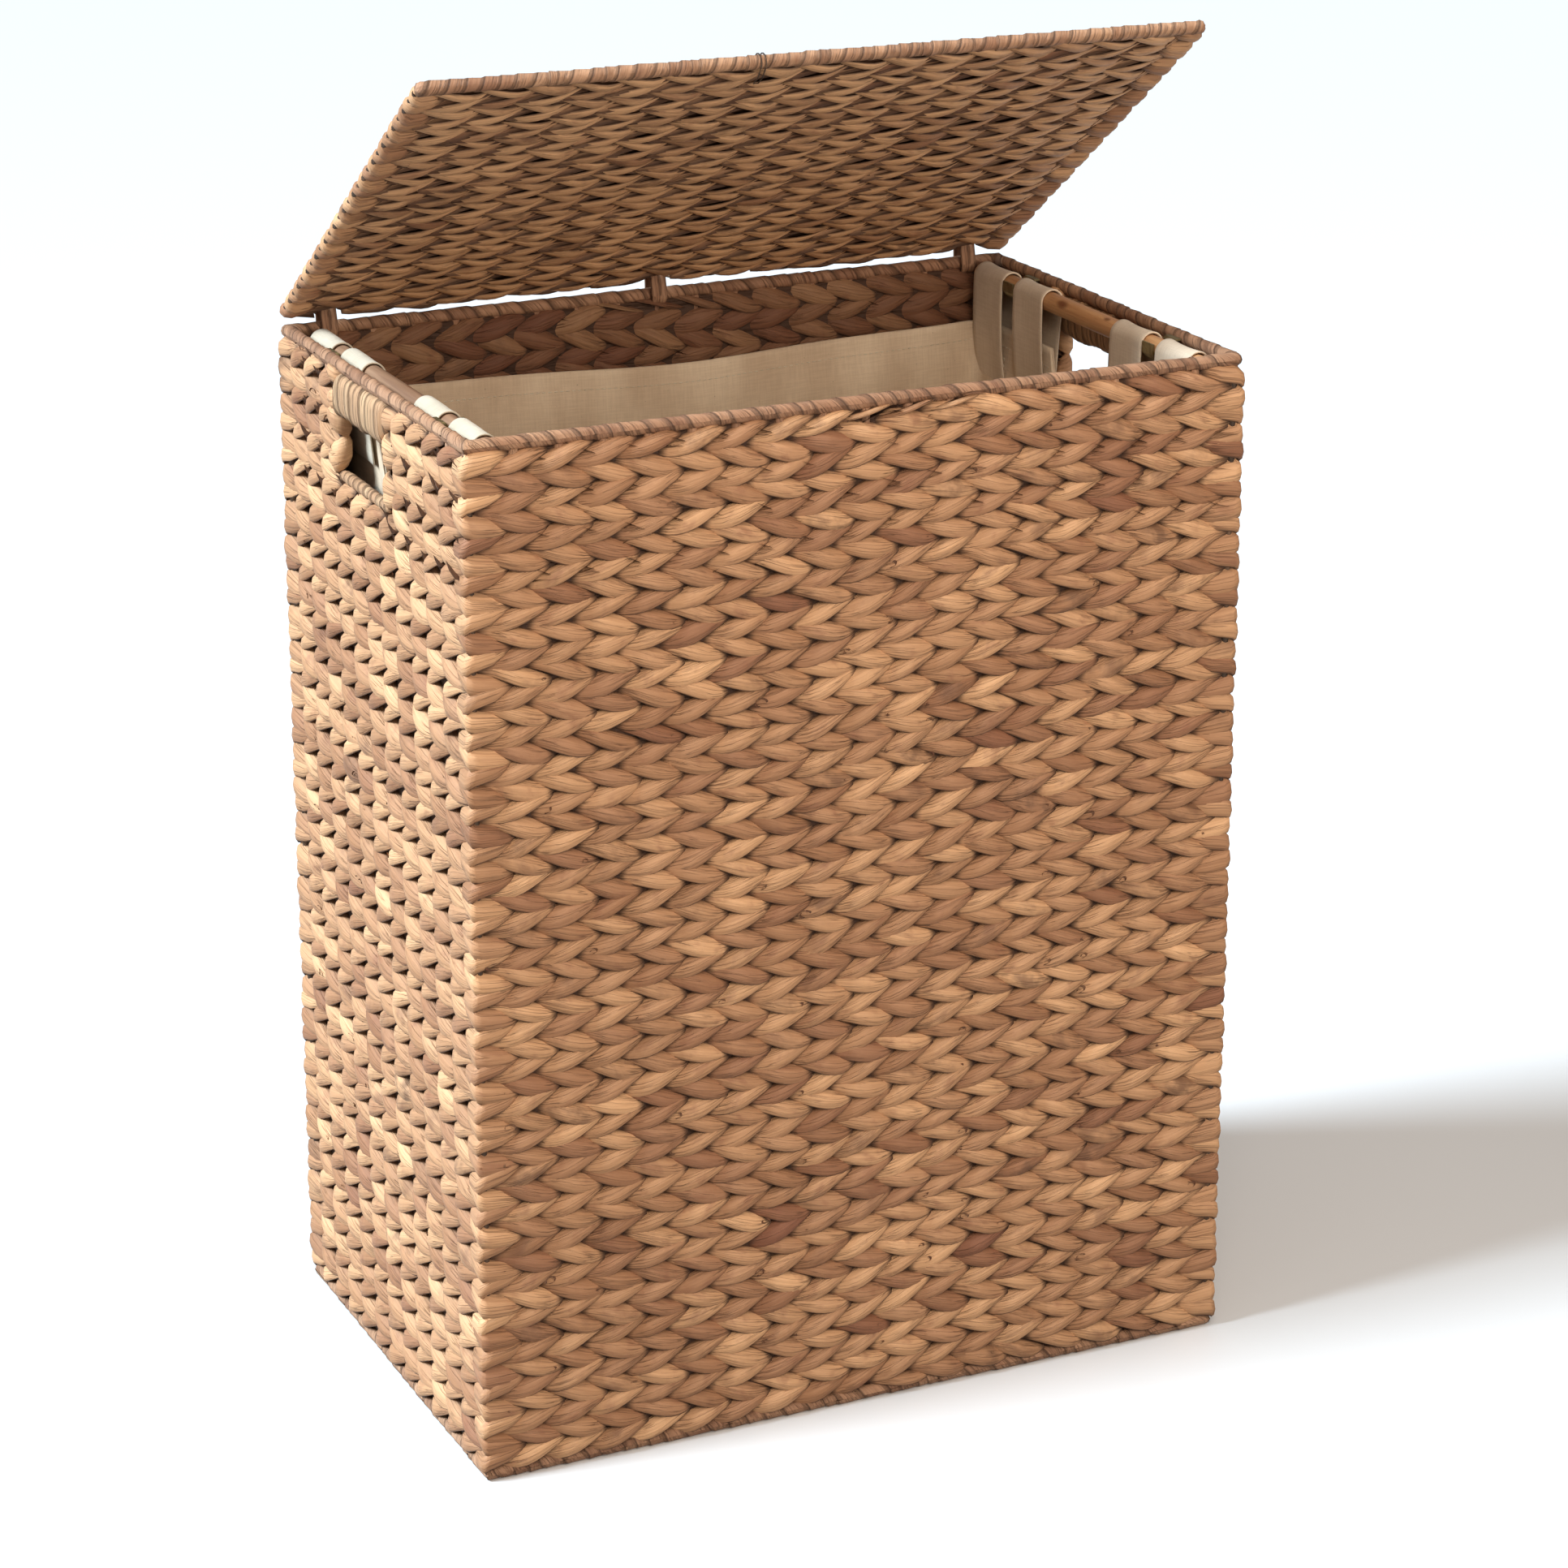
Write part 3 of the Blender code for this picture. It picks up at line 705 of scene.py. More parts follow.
keep = ~in_hole(curl_at[:, 0], curl_up[:, 0], margin=0.006) & ~under_hinge
lay("stray_ends", curls[keep], strand_finish, pale=0.2, reddish=0.75)

# %% [markdown]
# ## Turning round the hand holes
#
# Beside a hand hole the strand can't go on to the next stake, so it wraps round the last one and goes
# back inside. Each of these leaves starts flat on the outer face and bends round the edge of the hole in
# half a circle. They are plumper than the rest, which makes the soft, bulging sides of the hole.


# %% Leaves that turn round an edge
def edge_leaves(turn_at, toward, rows_at, radius, straight, plump, place):
    """A leaf that lies flat, turns round an edge that faces +1 or -1, and lies flat behind."""
    n = len(rows_at)
    vary = lambda low, high: rng.uniform(low, high, (n, 1))
    column = lambda values: (np.ones(n) * values)[:, None]
    u, v = LEAF_U[None, :] * np.ones((n, 1)), LEAF_V[None, :] * np.ones((n, 1)) * toward
    slant = np.where(np.arange(n) % 2 == 0, 1.0, -1.0)[:, None] * toward
    angle = np.clip(u / 0.5 + 1, 0, 2) * math.pi / 2
    flat = np.clip((abs(u) - 0.5) / 0.5, 0, 1)
    wide = 0.0070 * column(plump) * vary(0.92, 1.08) * np.cos(math.pi / 2 * 0.88 * flat) ** 0.75
    r = radius * vary(0.95, 1.04) - 0.0050 * column(plump) * (1 - np.cos(math.pi / 2 * v))
    sink = (radius + 0.0008) * (1 - np.cos(math.pi / 2 * 0.80 * flat))
    along = turn_at + toward * (r * np.sin(angle) - straight * flat)
    out = np.where(flat > 0, np.sign(-u) * (r - sink), r * np.cos(angle))
    up = np.array(rows_at)[:, None] + 0.0036 * slant * np.sin(math.pi / 2 * u)
    return place(along, out, up + wide * np.sin(math.pi / 2 * v))


TURN_R, TURN_FLAT = 0.0068, 0.016
PLAIN_JAMB = (np.arange(HOLE_Z[0] + 0.0020, TOP, 0.0112), 1.0)
BULGING_JAMB = (HOLE_Z[0] + np.array([0.0090, 0.0270, 0.0425, 0.0530]), np.array([1.50, 1.22, 1.0, 0.75]))
turned = []
for side in ("left", "right"):
    direction = 1 if side == "right" else -1
    for y, opens, (rows, plump) in ((HOLE_Y[0] - TURN_R, 1, PLAIN_JAMB),
                                    (HOLE_Y[1] + TURN_R, -1, BULGING_JAMB)):
        turned.append(edge_leaves(side_walk(side, y), opens * direction, rows, TURN_R, TURN_FLAT, plump,
                                  on_wall))
jambs = lay("strands_hole_edges", np.concatenate(turned), strand_finish, reddish=0.15, pale=0.6)
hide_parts(*(f"handle_jamb_{side}_{fore}" for side in ("left", "right")
                     for fore in ("front", "back")))

# %% [markdown]
# ## Wrapped wire
#
# The two rims, the lid's front bar and the sill of each hand hole are wires with a strip of leaf wound
# tightly round them. The grid follows the strip: one direction goes round the wire, and by the time it
# comes back it has moved on by one turn, so every edge of the strip is a real edge of the mesh. Each turn
# starts a little prouder than the one it overlaps, and no two turns are equally wide.


# %% Wind a strip round a wire
def wound(name, place, length, half_a, half_b, pitch, finish, closed=False, body="basket",
          lift=0.16, steps=5, sides=12, square=1.0, folds=0.0):
    """place(s, a, b) gives the point at s along the wire and (a, b) across it."""
    turns = max(3, round(length / pitch))
    widths = rng.uniform(0.45, 1.55, turns)
    marks = np.concatenate([[0.0], np.cumsum(widths)]) * length / widths.sum()
    if closed:
        marks = np.concatenate([marks, marks[1:3] + length])
    else:
        marks = np.concatenate([[0.0], marks, [length] * 2])
    rounds = turns if closed else turns + 1
    swell = rng.uniform(0.93, 1.05, rounds + 4)
    wobble = rng.uniform(-1, 1, (rounds + 4, 8))

    def bend(u, v):
        w = u * rounds
        s = np.interp(w + v, np.arange(len(marks)), marks)
        turn = np.minimum((w + 1e-6).astype(int), rounds - 1) % (turns if closed else rounds)
        part = np.clip(w - np.floor(w + 1e-6), 0, 1)
        r = swell[turn] * (1.0 + lift * (0.5 - part)) + folds * wobble[turn, (part * 7).astype(int)]
        if not closed:
            r = r * np.sqrt(np.clip(np.minimum(s, length - s) / (0.6 * half_a), 0, 1))
        angle = -2 * math.pi * v
        a, b = np.cos(angle), np.sin(angle)
        a, b = np.sign(a) * abs(a) ** square, np.sign(b) * abs(b) ** square
        return place(s, half_a * r * a, half_b * r * b)

    girth = math.pi * (half_a + half_b)
    band = length / turns
    runs = np.repeat(rng.uniform(0, 1, (rounds // 7 + 2, 3)), 7, axis=0)[:rounds + 1]
    shades = (0.45 * runs + 0.55 * rng.uniform(0, 1, (rounds + 1, 3)) ** 1.4) * (0.9, 0.7, 0.4)
    count = lambda u: np.minimum((u * rounds + 1e-6).astype(int), rounds - 1)
    # The shape map puts both edges of each turn near the strand's edge, so they get painted edge shade where
    # the turns overlap.
    piece = skin(name, rounds * steps, sides, bend,
                 lambda u, v: np.stack([v * girth + 7.3 * count(u), u * rounds * band], 1), finish,
                 shape=lambda u, v: np.stack([0 * u, abs((u * rounds) % 1 * 2 - 1) ** 3 * 0.94], 1),
                 tint=lambda u, v: shades[count(u)], body=body)
    print(f"{name}: {turns} turns on {length:.3f} m")
    return piece


# %% Rims
def on_rim(s, a, b, level, stop):
    """A point of a rim's wrapping, pressed in where the small wire loop of the closed lid lands."""
    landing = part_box("lid_wire_loop")
    points = on_wall(s, a, np.maximum(level + b, stop))
    x, y, z = points.T
    pressed = (x > landing[0].x - 0.002) & (x < landing[1].x + 0.002) & (y < 0) & (level > TOP)
    points[:, 2] = np.where(pressed, np.minimum(z, level + RIM_R * 0.86), z)
    return points


for name, node in (("wrapped_rim", "rim_top"), ("wrapped_foot", "rim_bottom")):
    low_stop = 0.0002 if node == "rim_bottom" else -1.0
    piece = wound(name, lambda s, a, b, level=middle(node).z, stop=low_stop: on_rim(s, a, b, level, stop),
                  ROUND, RIM_R, RIM_R, RIM_STRIP, wrap_finish, closed=True)
    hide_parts(node)

# %% [markdown]
# The grip above each hand hole is the same winding on a flat section: wide strips folded down over the
# top bar like a curtain, with deep folds. The sill below is a thin wrapped wire.

# %% Grips and sills
for side in ("left", "right"):
    low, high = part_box("handle_grip_" + side)
    centre, length = (low + high) / 2, high.y - low.y + 0.001
    piece = wound("wrapped_grip_" + side,
                  lambda s, a, b, c=centre, y=low.y - 0.0005: np.stack([c.x + a, y + s, c.z - 0.0002 + b], 1),
                  length, (high.x - low.x) / 2 + 0.0006, (high.z - low.z) / 2 + 0.0012, BAR_STRIP,
                  grip_finish, lift=0.06, steps=8, sides=24, square=0.7, folds=0.045)
    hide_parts("handle_grip_" + side)
    low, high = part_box("handle_sill_" + side)
    centre = (low + high) / 2
    piece = wound("wrapped_sill_" + side,
                  lambda s, a, b, c=centre, y=low.y: np.stack([c.x + a, y + s, c.z + b], 1),
                  high.y - low.y, 0.0034, 0.0034, SILL_STRIP, grip_finish)
    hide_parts("handle_sill_" + side)

# %% [markdown]
# Between the rim and the top row the ends of the stakes show: short wires with a turn or two of strip
# that bind the weave to the rim.

# %% Bound stake ends
STUB_SIDES = 8
stubs = bmesh.new()
for walk in STAKES:
    if in_hole(np.array(walk), np.array(TOP), margin=0.002):
        continue
    place = Vector(on_wall(walk, 0.0, TOP - 0.006))
    made = bmesh.ops.create_cone(stubs, cap_ends=True, segments=STUB_SIDES, radius1=0.0024, radius2=0.0030,
                                 depth=0.014)
    bmesh.ops.translate(stubs, vec=place, verts=made["verts"])
plain_maps(stubs, lambda x, y, z: (z, x + y), (0.0, 0.6))
stub_piece = finish_piece("stake_ends", stubs, wrap_finish)
points = len(stub_piece.data.vertices)
shades = rng.uniform(0, 0.6, (points // (2 * STUB_SIDES) + 1, 3))
give_tint(stub_piece, np.repeat(shades, 2 * STUB_SIDES, axis=0)[:points])
print("stake ends:", points // (2 * STUB_SIDES))

# %% [markdown]
# ## The lid
#
# The lid is the same twined work on a flat panel: its rows run side to side, and at the two short edges
# the strands turn round the wire. `on_lid` takes a point on the closed lid, measured from its hinge, and
# turns it open. Leaves are laid on both faces. The row next to the hinge leaves out the leaf at each tie.


# %% Points on the lid
def on_lid(x, out, toward_back):
    """x across, out above the lid's middle, toward_back from the hinge, negative to the front."""
    x, out, back = np.broadcast_arrays(x, out, toward_back)
    y = back * math.cos(OPEN) + out * math.sin(OPEN)
    z = -back * math.sin(OPEN) + out * math.cos(OPEN)
    return np.stack([x + HINGE_POS.x, y + HINGE_POS.y, z + HINGE_POS.z], axis=-1)


LID_EDGE = max(abs(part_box("lid_wire_right")[0].x), abs(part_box("lid_wire_right")[1].x)) - 0.002
LID_DEEP = math.hypot(middle("lid_bar_front").y - HINGE_POS.y, middle("lid_bar_front").z - HINGE_POS.z)
LID_STAKES = np.array([LID_EDGE * (2 * k / FRONT_STAKES - 1) for k in range(FRONT_STAKES + 1)])
LID_ROW = (LID_DEEP - 0.0030) / LID_ROWS
TIES = ("hinge_tie_left", "hinge_tie_middle", "hinge_tie_right")
TIE_X = np.array([middle(name).x for name in TIES])
LID_HALF = 0.0060


def lid_leaves(under):
    stake, row = (grid.ravel() for grid in np.meshgrid(LID_STAKES[1:-1], np.arange(LID_ROWS)))
    back = -LID_ROW * (row + 0.5) + 0.0002
    tied = (row < 1) & (np.min(abs(stake[:, None] - TIE_X[None, :]), axis=1) < 0.012)
    stake, row, back = (x[~tied][:, None] for x in (stake, row, back))
    room = np.clip((back + LID_DEEP - 0.0022) / 0.0060, 0.5, 1.0)
    slant = np.where(row % 2 == 0, 1.0, -1.0)
    along, out, up = leaf(LID_EDGE / FRONT_STAKES * 1.52, slant, LID_HALF - 0.0003, plump=room, full=0.0067)
    if under:
        along, out = -along, -out
    return on_lid(stake + along, out, back + up)


# %% Lay the lid
top_side = lay("lid_strands_top", lid_leaves(False), strand_finish, body="lid")
# Painted light: the underside's leaves are mostly pale, standing in for light that the shaded underside
# lacks.
lay("lid_strands_under", lid_leaves(True), strand_finish, body="lid", pale=0.95, reddish=0.12)
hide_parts("lid_weave", "lid_bar_rear")

lid_rows = -LID_ROW * (np.arange(LID_ROWS) + 0.5) + 0.0002
edges = [edge_leaves(side * (LID_EDGE - 0.0026), side, lid_rows, 0.0057, TURN_FLAT, 1.14, on_lid)
         for side in (-1, 1)]
lay("lid_strands_edges", np.concatenate(edges), strand_finish, body="lid")

bar = wound("wrapped_lid_bar", lambda s, a, b: on_lid(s - LID_EDGE - 0.0022, b, a - LID_DEEP),
            2 * LID_EDGE + 0.0044, RIM_R, RIM_R, BAR_STRIP, wrap_finish, body="lid")
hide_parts("lid_bar_front")

lid_core = bmesh.new()
bmesh.ops.create_grid(lid_core, x_segments=2 * FRONT_STAKES, y_segments=LID_ROWS, size=0.5)
spots = np.array([v.co[:2] for v in lid_core.verts])
reach = LID_DEEP - 0.014
places = on_lid(spots[:, 0] * 2 * (LID_EDGE - 0.004), CORE_THICK / 2,
                -0.0095 - reach * (0.5 - spots[:, 1]) * 0.995)
for vert, place in zip(lid_core.verts, places):
    vert.co = place
bmesh.ops.solidify(lid_core, geom=lid_core.faces, thickness=CORE_THICK)
plain_maps(lid_core, lambda x, y, z: (x, y + z), SHADE_EDGE_SPOT)
give_tint(finish_piece("lid_core", lid_core, painted_shade_core_finish, body="lid"), PAINTED_SHADE_TINT)
print("lid leaves, edges, bar and core laid,", LID_ROWS, "rows")

# %% [markdown]
# ## The base
#
# The basket stands on a twined panel inside the foot ring. Only its underside can be seen. Its leaves are
# pressed flat where they meet the floor.

# %% Lay the underside of the base
low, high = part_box("weave_base")
base_x = np.linspace(low.x, high.x, FRONT_STAKES + 1)[1:-1]
base_y = np.arange(low.y + ROW / 2, high.y - ROW / 3, ROW)
stake, line = (grid.ravel()[:, None] for grid in np.meshgrid(base_x, base_y))
slant = np.where(np.round((line - low.y) / ROW - 0.5) % 2 == 0, 1.0, -1.0)
along, out, up = leaf((high.x - low.x) / FRONT_STAKES * 0.76, slant, 0.0062)
depth = np.maximum(0.0072 - out, 0.0004)
under = np.stack(np.broadcast_arrays(stake - along, line + up, depth), axis=-1)
under[..., 0] = np.clip(under[..., 0], low.x, high.x)
base_piece = lay("strands_base", under, strand_finish)
floor_plate = bmesh.new()
bmesh.ops.create_cube(floor_plate, size=1.0)
bmesh.ops.scale(floor_plate, vec=(high.x - low.x, high.y - low.y, 0.0035), verts=floor_plate.verts)
bmesh.ops.translate(floor_plate, vec=(0, 0, high.z - 0.0019), verts=floor_plate.verts)
plain_maps(floor_plate, lambda x, y, z: (x, y), SHADE_EDGE_SPOT)
# Painted shade: the plate under the base leaves takes the darkest tint and full edge darkening.
give_tint(finish_piece("base_core", floor_plate, strand_finish, smooth=False), PAINTED_SHADE_TINT)
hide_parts("weave_base")

# %% [markdown]
# ## The ties
#
# Three ties of doubled strip hold the lid's rear wire to the rim. Each is a flat loop that passes over
# the wire and under the rim. The frame gives the middle of each tie, and the two wires give its ends.

# %% Tie strips
def ring_path(low_end, high_end, low_r, high_r):
    """A closed loop round two wires, in the plane across them: its points and the way to each."""
    down = [(low_end[0] + low_r * math.cos(t), low_end[1] + low_r * math.sin(t))
            for t in np.linspace(math.pi, 2 * math.pi, 24)]
    up = [(high_end[0] + high_r * math.cos(t), high_end[1] + high_r * math.sin(t))
          for t in np.linspace(0, math.pi, 24)]
    corners = np.array(down + up + down[:1])
    walk = np.concatenate([[0], np.cumsum(np.hypot(*np.diff(corners, axis=0).T))])
    return corners, walk


corners, walk = ring_path((MID_Y, middle("rim_top").z), (HINGE_POS.y, HINGE_POS.z), RIM_R + 0.0013, 0.0043)
for number, node in enumerate(TIES):
    low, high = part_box(node)

    def tie_point(u, v, low=low, high=high):
        strips = np.clip(u * 2 - 1e-6, 0, 2).astype(int)
        x = low.x + (high.x - low.x) * (0.02 + 0.96 * u)
        crown = 0.0009 * np.sin(math.pi * ((u * 2) % 1.0)) ** 0.7 + 0.0002
        s = v * walk[-1]
        y, z = np.interp(s, walk, corners[:, 0]), np.interp(s, walk, corners[:, 1])
        ahead = (s + 0.0004) % walk[-1]
        dy, dz = np.interp(ahead, walk, corners[:, 0]) - y, np.interp(ahead, walk, corners[:, 1]) - z
        size = np.hypot(dy, dz) + 1e-9
        lean = 0.0006 * np.sin(2 * math.pi * v + strips)
        return np.stack([x + lean, y + crown * dz / size, z - crown * dy / size], 1)

    # The shape map puts the edges of both strips near the strand's edge, so they get painted edge shade.
    tie = skin(f"tie_strip_{number + 1}", 12, 60, tie_point,
               lambda u, v: np.stack([v * 0.06, u * 0.009], 1), wrap_finish,
               shape=lambda u, v: np.stack([0 * u, abs((u * 2) % 1 - 0.5) * 1.8], 1),
               tint=lambda u, v: np.stack([0.35 + 0.4 * np.round(u), 0.4 + 0 * u, 0.2 + 0 * u], 1))
    thicken(tie, 0.0009, offset=-1.0)
    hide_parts(node)
print(len(TIES), "ties, each", round(float(walk[-1]), 4), "m round")

# %% [markdown]
# ## The liner
#
# The liner is one canvas bag: four walls and a bottom, hung from eight loops over the rods. It could be
# draped by simulation, but the loops hold its top edge and the basket holds its walls, so there is little
# left to fall. It is shaped directly: the top edge sags between the loops, it is cut low at the hand
# holes, and slow folds run down the walls and fade out.

# %% Walk round the liner
LINER_LOW, LINER_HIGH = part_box("liner_bag")
CLOTH = 0.0013
LINER_CORNER = 0.010
ROUND_LINER, TALL_LINER = 1.41, 0.68
HALF_X, HALF_Y = LINER_HIGH.x - CLOTH / 2 - 0.0001, LINER_HIGH.y - CLOTH / 2 - 0.0001
BOTTOM = LINER_LOW.z + CLOTH / 2 + 0.0002
BRIM = LINER_HIGH.z


def around(part, half_x, half_y, radius):
    """Place and outward direction a part of the way round a rounded rectangle."""
    arc = math.pi / 2 * radius
    sides = np.tile([2 * (half_x - radius), arc, 2 * (half_y - radius), arc], 2)
    marks = np.concatenate([[0], np.cumsum(sides)])
    s = np.mod(part, 1.0) * marks[-1]
    step = np.clip(np.searchsorted(marks, s, side="right") - 1, 0, 7)
    rest, k = s - marks[step], step // 2
    curved = step % 2 == 1
    angle = (k - 1) * math.pi / 2 + np.where(curved, rest / radius, 0)
    centres = np.array([(1, -1), (1, 1), (-1, 1), (-1, -1)]) * (half_x - radius, half_y - radius)
    out = np.stack([np.cos(angle), np.sin(angle)], -1)
    forward = np.stack([-np.sin(angle), np.cos(angle)], -1)
    centre = np.where(curved[..., None], centres[k], centres[k - 1] + rest[..., None] * forward)
    return centre + radius * out, out, s


def brim_at(spot):
    """Height of the top edge at a place on the walls."""
    x, y = spot[..., 0], spot[..., 1]
    long_side = abs(y) > HALF_Y - 0.004
    sag = 0.0075 * (1 - np.clip(x / HALF_X, -1, 1) ** 2) + 0.0012 * np.sin(31 * x + 9 * y)
    dip = 0.038 * (1 - ease(abs(y), 0.0300, 0.0400))
    return BRIM - np.where(long_side, sag, dip) - 0.0003


def liner_point(part, height, inset=0.0):
    spot, out, s = around(part, HALF_X, HALF_Y, LINER_CORNER)
    down = BRIM - height
    free = ease(down, 0.0, 0.05) * (1 - 0.6 * ease(down, 0.1, 0.5)) * ease(height, BOTTOM, BOTTOM + 0.05)
    fold = (0.9 * np.sin(61 * s + 2.0 * np.sin(9 * height)) + 0.8 * np.sin(23 * s + 1.3 + 3 * height)
            + 0.5 * np.sin(113 * s - 6 * height))
    slack = 0.0016 * (1 - np.clip(abs(spot[..., 0]) / HALF_X, 0, 1) ** 2) * (abs(out[..., 1]) > 0.9)
    push = -inset - free * (0.00130 * (fold + 2.2)) - slack * ease(down, -0.02, 0.03)
    place = spot + out * push[..., None]
    return np.stack([place[..., 0], place[..., 1], height], -1)


# %% The bag
BOTTOM_PART = 0.16


def bag(u, v):
    wall = np.clip((v - BOTTOM_PART) / (1 - BOTTOM_PART), 0, 1)
    spot, _, _ = around(u, HALF_X, HALF_Y, LINER_CORNER)
    place = liner_point(u, BOTTOM + 0.004 + wall * (brim_at(spot) - BOTTOM - 0.004))
    inward = np.clip(v / BOTTOM_PART, 0, 1)
    flat = v < BOTTOM_PART - 1e-9
    place[flat, :2] *= (inward[flat, None] ** 0.8)
    place[flat, 2] = BOTTOM + 0.0004 * np.sin(40 * place[flat, 0]) ** 2
    return place


liner = skin("liner_cloth", 236, 76, bag, lambda u, v: np.stack([u * ROUND_LINER, v * TALL_LINER], 1),
             liner_finish, weld=2e-5)
thicken(liner, CLOTH)
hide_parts("liner_bag")
print("liner:", len(liner.data.polygons), "faces")


# %% The hem, folded to the inside
HEM = 0.043


def hem_point(u, v):
    spot, _, _ = around(u, HALF_X, HALF_Y, LINER_CORNER)
    return liner_point(u, brim_at(spot) - HEM * (1 - v) + 0.0001, inset=CLOTH / 2 + 0.0006)


hem = skin("liner_hem", 236, 10, hem_point,
           lambda u, v: np.stack([u * ROUND_LINER + 3, v * HEM + 2], 1), liner_finish)
thicken(hem, 0.0009)
print("hem:", len(hem.data.polygons), "faces")

# %% [markdown]
# ## Loops over the rods
#
# Eight loops of cotton carry the liner. Each is a band that goes up inside, hugs the rod, and comes down
# behind it to the liner's outer face. The band's path is drawn once, in the plane across the rod, and
# swept across its width. The edges curl up by a hair and the inner leg hangs a little slack.

# %% Loop bands
def loop_path(side, slack):
    """Points from the inner leg's end, over the rod, to the outer leg's end, with the way they face."""
    rod = middle("rod_" + side)
    sign = 1 if rod.x > 0 else -1
    low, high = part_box("rod_" + side)
    radius = (high.z - low.z) / 2 + 0.0010
    leg_in = np.linspace([HALF_X - 0.0026, BRIM - 0.042], [abs(rod.x) - radius, rod.z], 14)
    swing = np.sin(np.linspace(0, math.pi, 14))
    leg_in[:, 0] -= slack * swing
    turn = np.linspace(math.pi, 0, 16)[1:-1]
    over = np.stack([abs(rod.x) + radius * np.cos(turn), rod.z + radius * np.sin(turn)], 1)
    leg_out = np.linspace([abs(rod.x) + radius, rod.z], [HALF_X + 0.0014, BRIM - 0.024], 12)
    path = np.concatenate([leg_in, over, leg_out])
    step = np.gradient(path, axis=0)
    step /= np.hypot(step[:, 0], step[:, 1])[:, None]
    face = np.stack([-step[:, 1], step[:, 0]], 1)
    path[:, 0] *= sign
    face[:, 0] *= sign
    return path, face, sign


for side in ("left", "right"):
    for number in range(1, 5):
        low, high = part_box(f"loop_{side}_{number}")
        path, face, sign = loop_path(side, rng.uniform(0.0008, 0.0022))
        marks = np.linspace(0, 1, len(path))
        drift = rng.uniform(-0.0012, 0.0012)

        def loop_point(u, v, path=path, face=face, marks=marks, sign=sign, low=low, high=high, drift=drift):
            across = (v - 0.5) * sign
            y = (low.y + high.y) / 2 + across * (high.y - low.y - 0.0006) * (1 - 0.03 * np.sin(math.pi * u))
            y = y + drift * np.sin(math.pi * u)
            curl = 0.0004 * abs(2 * v - 1) ** 3 + 0.00025 * np.sin(14 * u + 5 * v)
            x = np.interp(u, marks, path[:, 0]) + curl * np.interp(u, marks, face[:, 0])
            z = np.interp(u, marks, path[:, 1]) + curl * np.interp(u, marks, face[:, 1])
            return np.stack([x, y, z], 1)

        # Left loops take the darker painted shade copy of the cotton; right loops take the plain colour.
        loop = skin(f"loop_band_{side}_{number}", 40, 10, loop_point,
                    lambda u, v, n=number: np.stack([v * 0.038 + n, u * 0.15], 1),
                    painted_shade_loop_finish if side == "left" else loop_shade_finish)
        thicken(loop, 0.0011)
        soften = loop.modifiers.new("edge", "BEVEL")
        soften.width, soften.segments, soften.limit_method = 0.0003, 1, "ANGLE"
        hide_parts(f"loop_{side}_{number}")

# %% [markdown]
# ## Stitches
#
# Stitches are tiny beads laid end to end along a seam. There are about a thousand, so each one is only
# a few faces. They run in two rows round the hem and in a box where each loop is sewn on.

# %% Lay stitches along a seam
stitch_unit = bmesh.new()
bmesh.ops.create_uvsphere(stitch_unit, u_segments=6, v_segments=4, radius=1.0)
stitch_mesh = bpy.data.meshes.new("unit_stitch")
stitch_unit.to_mesh(stitch_mesh)
stitch_unit.free()


def stitches(name, seams, long=0.0027, gap=0.0012, thick=0.00034):
    """Each seam is a list of points a stitch follows."""
    heap = bmesh.new()
    count = 0
    for seam in seams:
        seam = np.asarray(seam, dtype=float)
        walk = np.concatenate([[0], np.cumsum(np.linalg.norm(np.diff(seam, axis=0), axis=1))])
        for start in np.arange(gap / 2, walk[-1] - long, long + gap):
            ends = [Vector([np.interp(start + d, walk, seam[:, i]) for i in range(3)]) for d in (0, long)]
            turn = (ends[1] - ends[0]).to_track_quat("Z", "Y").to_matrix().to_4x4()
            size = Matrix.Diagonal((thick, thick, long / 2, 1))
            first = len(heap.verts)
            heap.from_mesh(stitch_mesh)
            heap.verts.ensure_lookup_table()
            bmesh.ops.transform(heap, matrix=Matrix.Translation((ends[0] + ends[1]) / 2) @ turn @ size,
                                verts=heap.verts[first:])
            count += 1
    layer = heap.loops.layers.uv.new("fibre")
    for face in heap.faces:
        for corner in face.loops:
            corner[layer].uv = (corner.vert.co.x + corner.vert.co.y, corner.vert.co.z)
    print(f"{name}: {count} stitches")
    return finish_piece(name, heap, thread_finish)


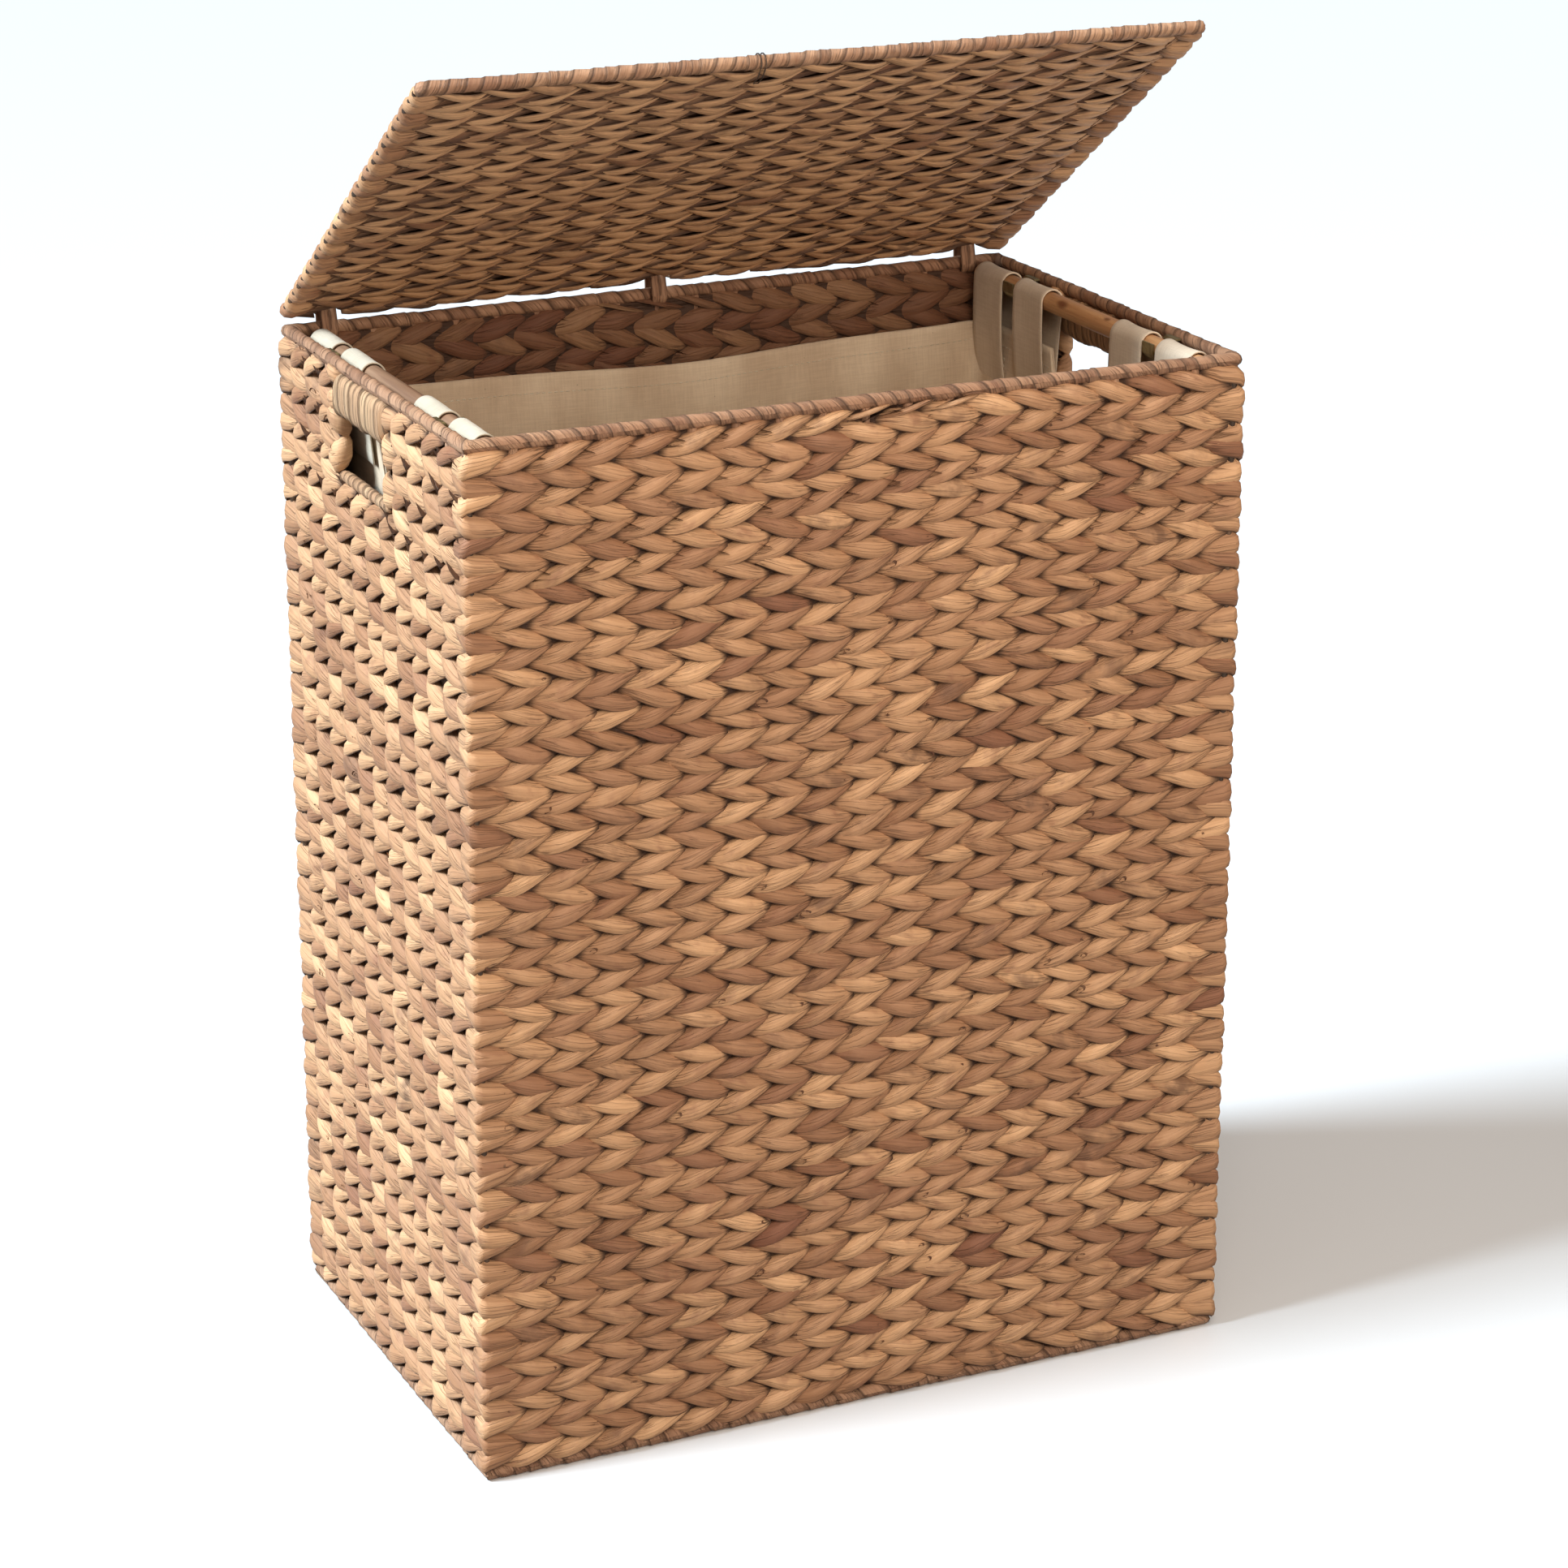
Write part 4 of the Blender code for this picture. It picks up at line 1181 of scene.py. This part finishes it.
def hem_seam(down):
    part = np.linspace(0, 1, 400)
    spot, _, _ = around(part, HALF_X, HALF_Y, LINER_CORNER)
    return liner_point(part, brim_at(spot) - down, inset=CLOTH / 2 + 0.0011)


hem_stitches = stitches("hem_stitches", [hem_seam(0.0115), hem_seam(HEM - 0.0025)])

seams = []
for side in ("left", "right"):
    for number in range(1, 5):
        low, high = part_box(f"loop_{side}_{number}")
        sign = 1 if side == "right" else -1
        x = sign * (HALF_X - 0.0026 - 0.0008)
        bottom, y0, y1 = BRIM - 0.0395, low.y + 0.003, high.y - 0.003
        seams.append([(x, y0, bottom + 0.022), (x, y0, bottom), (x, y1, bottom), (x, y1, bottom + 0.022),
                      (x, y0, bottom + 0.022)])
loop_stitches = stitches("loop_stitches", seams)

# %% [markdown]
# ## Rods, hooks and bare metal
#
# The rods are turned pine with eased ends. They roll in their hooks, so each rides on its own body. The
# hooks, the lid's side wires, the corner posts and the little wire loop keep their solid shapes and only
# need a finish.

# %% Rods
for side, finish in (("left", dark_pine), ("right", pale_pine)):
    low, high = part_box("rod_" + side)
    centre, radius, long = (low + high) / 2, (high.z - low.z) / 2, high.y - low.y
    rod = bmesh.new()
    bmesh.ops.create_cone(rod, cap_ends=True, segments=48, radius1=radius, radius2=radius, depth=long)
    bmesh.ops.bevel(rod, geom=[e for e in rod.edges if len(e.link_faces) == 2 and any(
        len(f.verts) > 4 for f in e.link_faces)], offset=0.0008, segments=3, profile=0.5, material=-1,
        affect="EDGES")
    bmesh.ops.rotate(rod, matrix=Matrix.Rotation(math.pi / 2, 3, "X"), verts=rod.verts)
    bmesh.ops.translate(rod, vec=centre, verts=rod.verts)
    piece = finish_piece("pine_rod_" + side, rod, finish, body="rod_" + side)
    piece.data.set_sharp_from_angle(angle=math.radians(40))
    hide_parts("rod_" + side)

# %% Finishes for the solid nodes that stay
STAYS = {"hook_": hook_finish, "lid_wire_": wire_finish, "corner_post_": wire_finish}
for name, node in frame["nodes"].items():
    thing = node if isinstance(node, bpy.types.Object) else bpy.data.objects[name]
    for start, finish in STAYS.items():
        if name.startswith(start):
            for slot in thing.material_slots:
                slot.material = finish
            print("finish on", name)
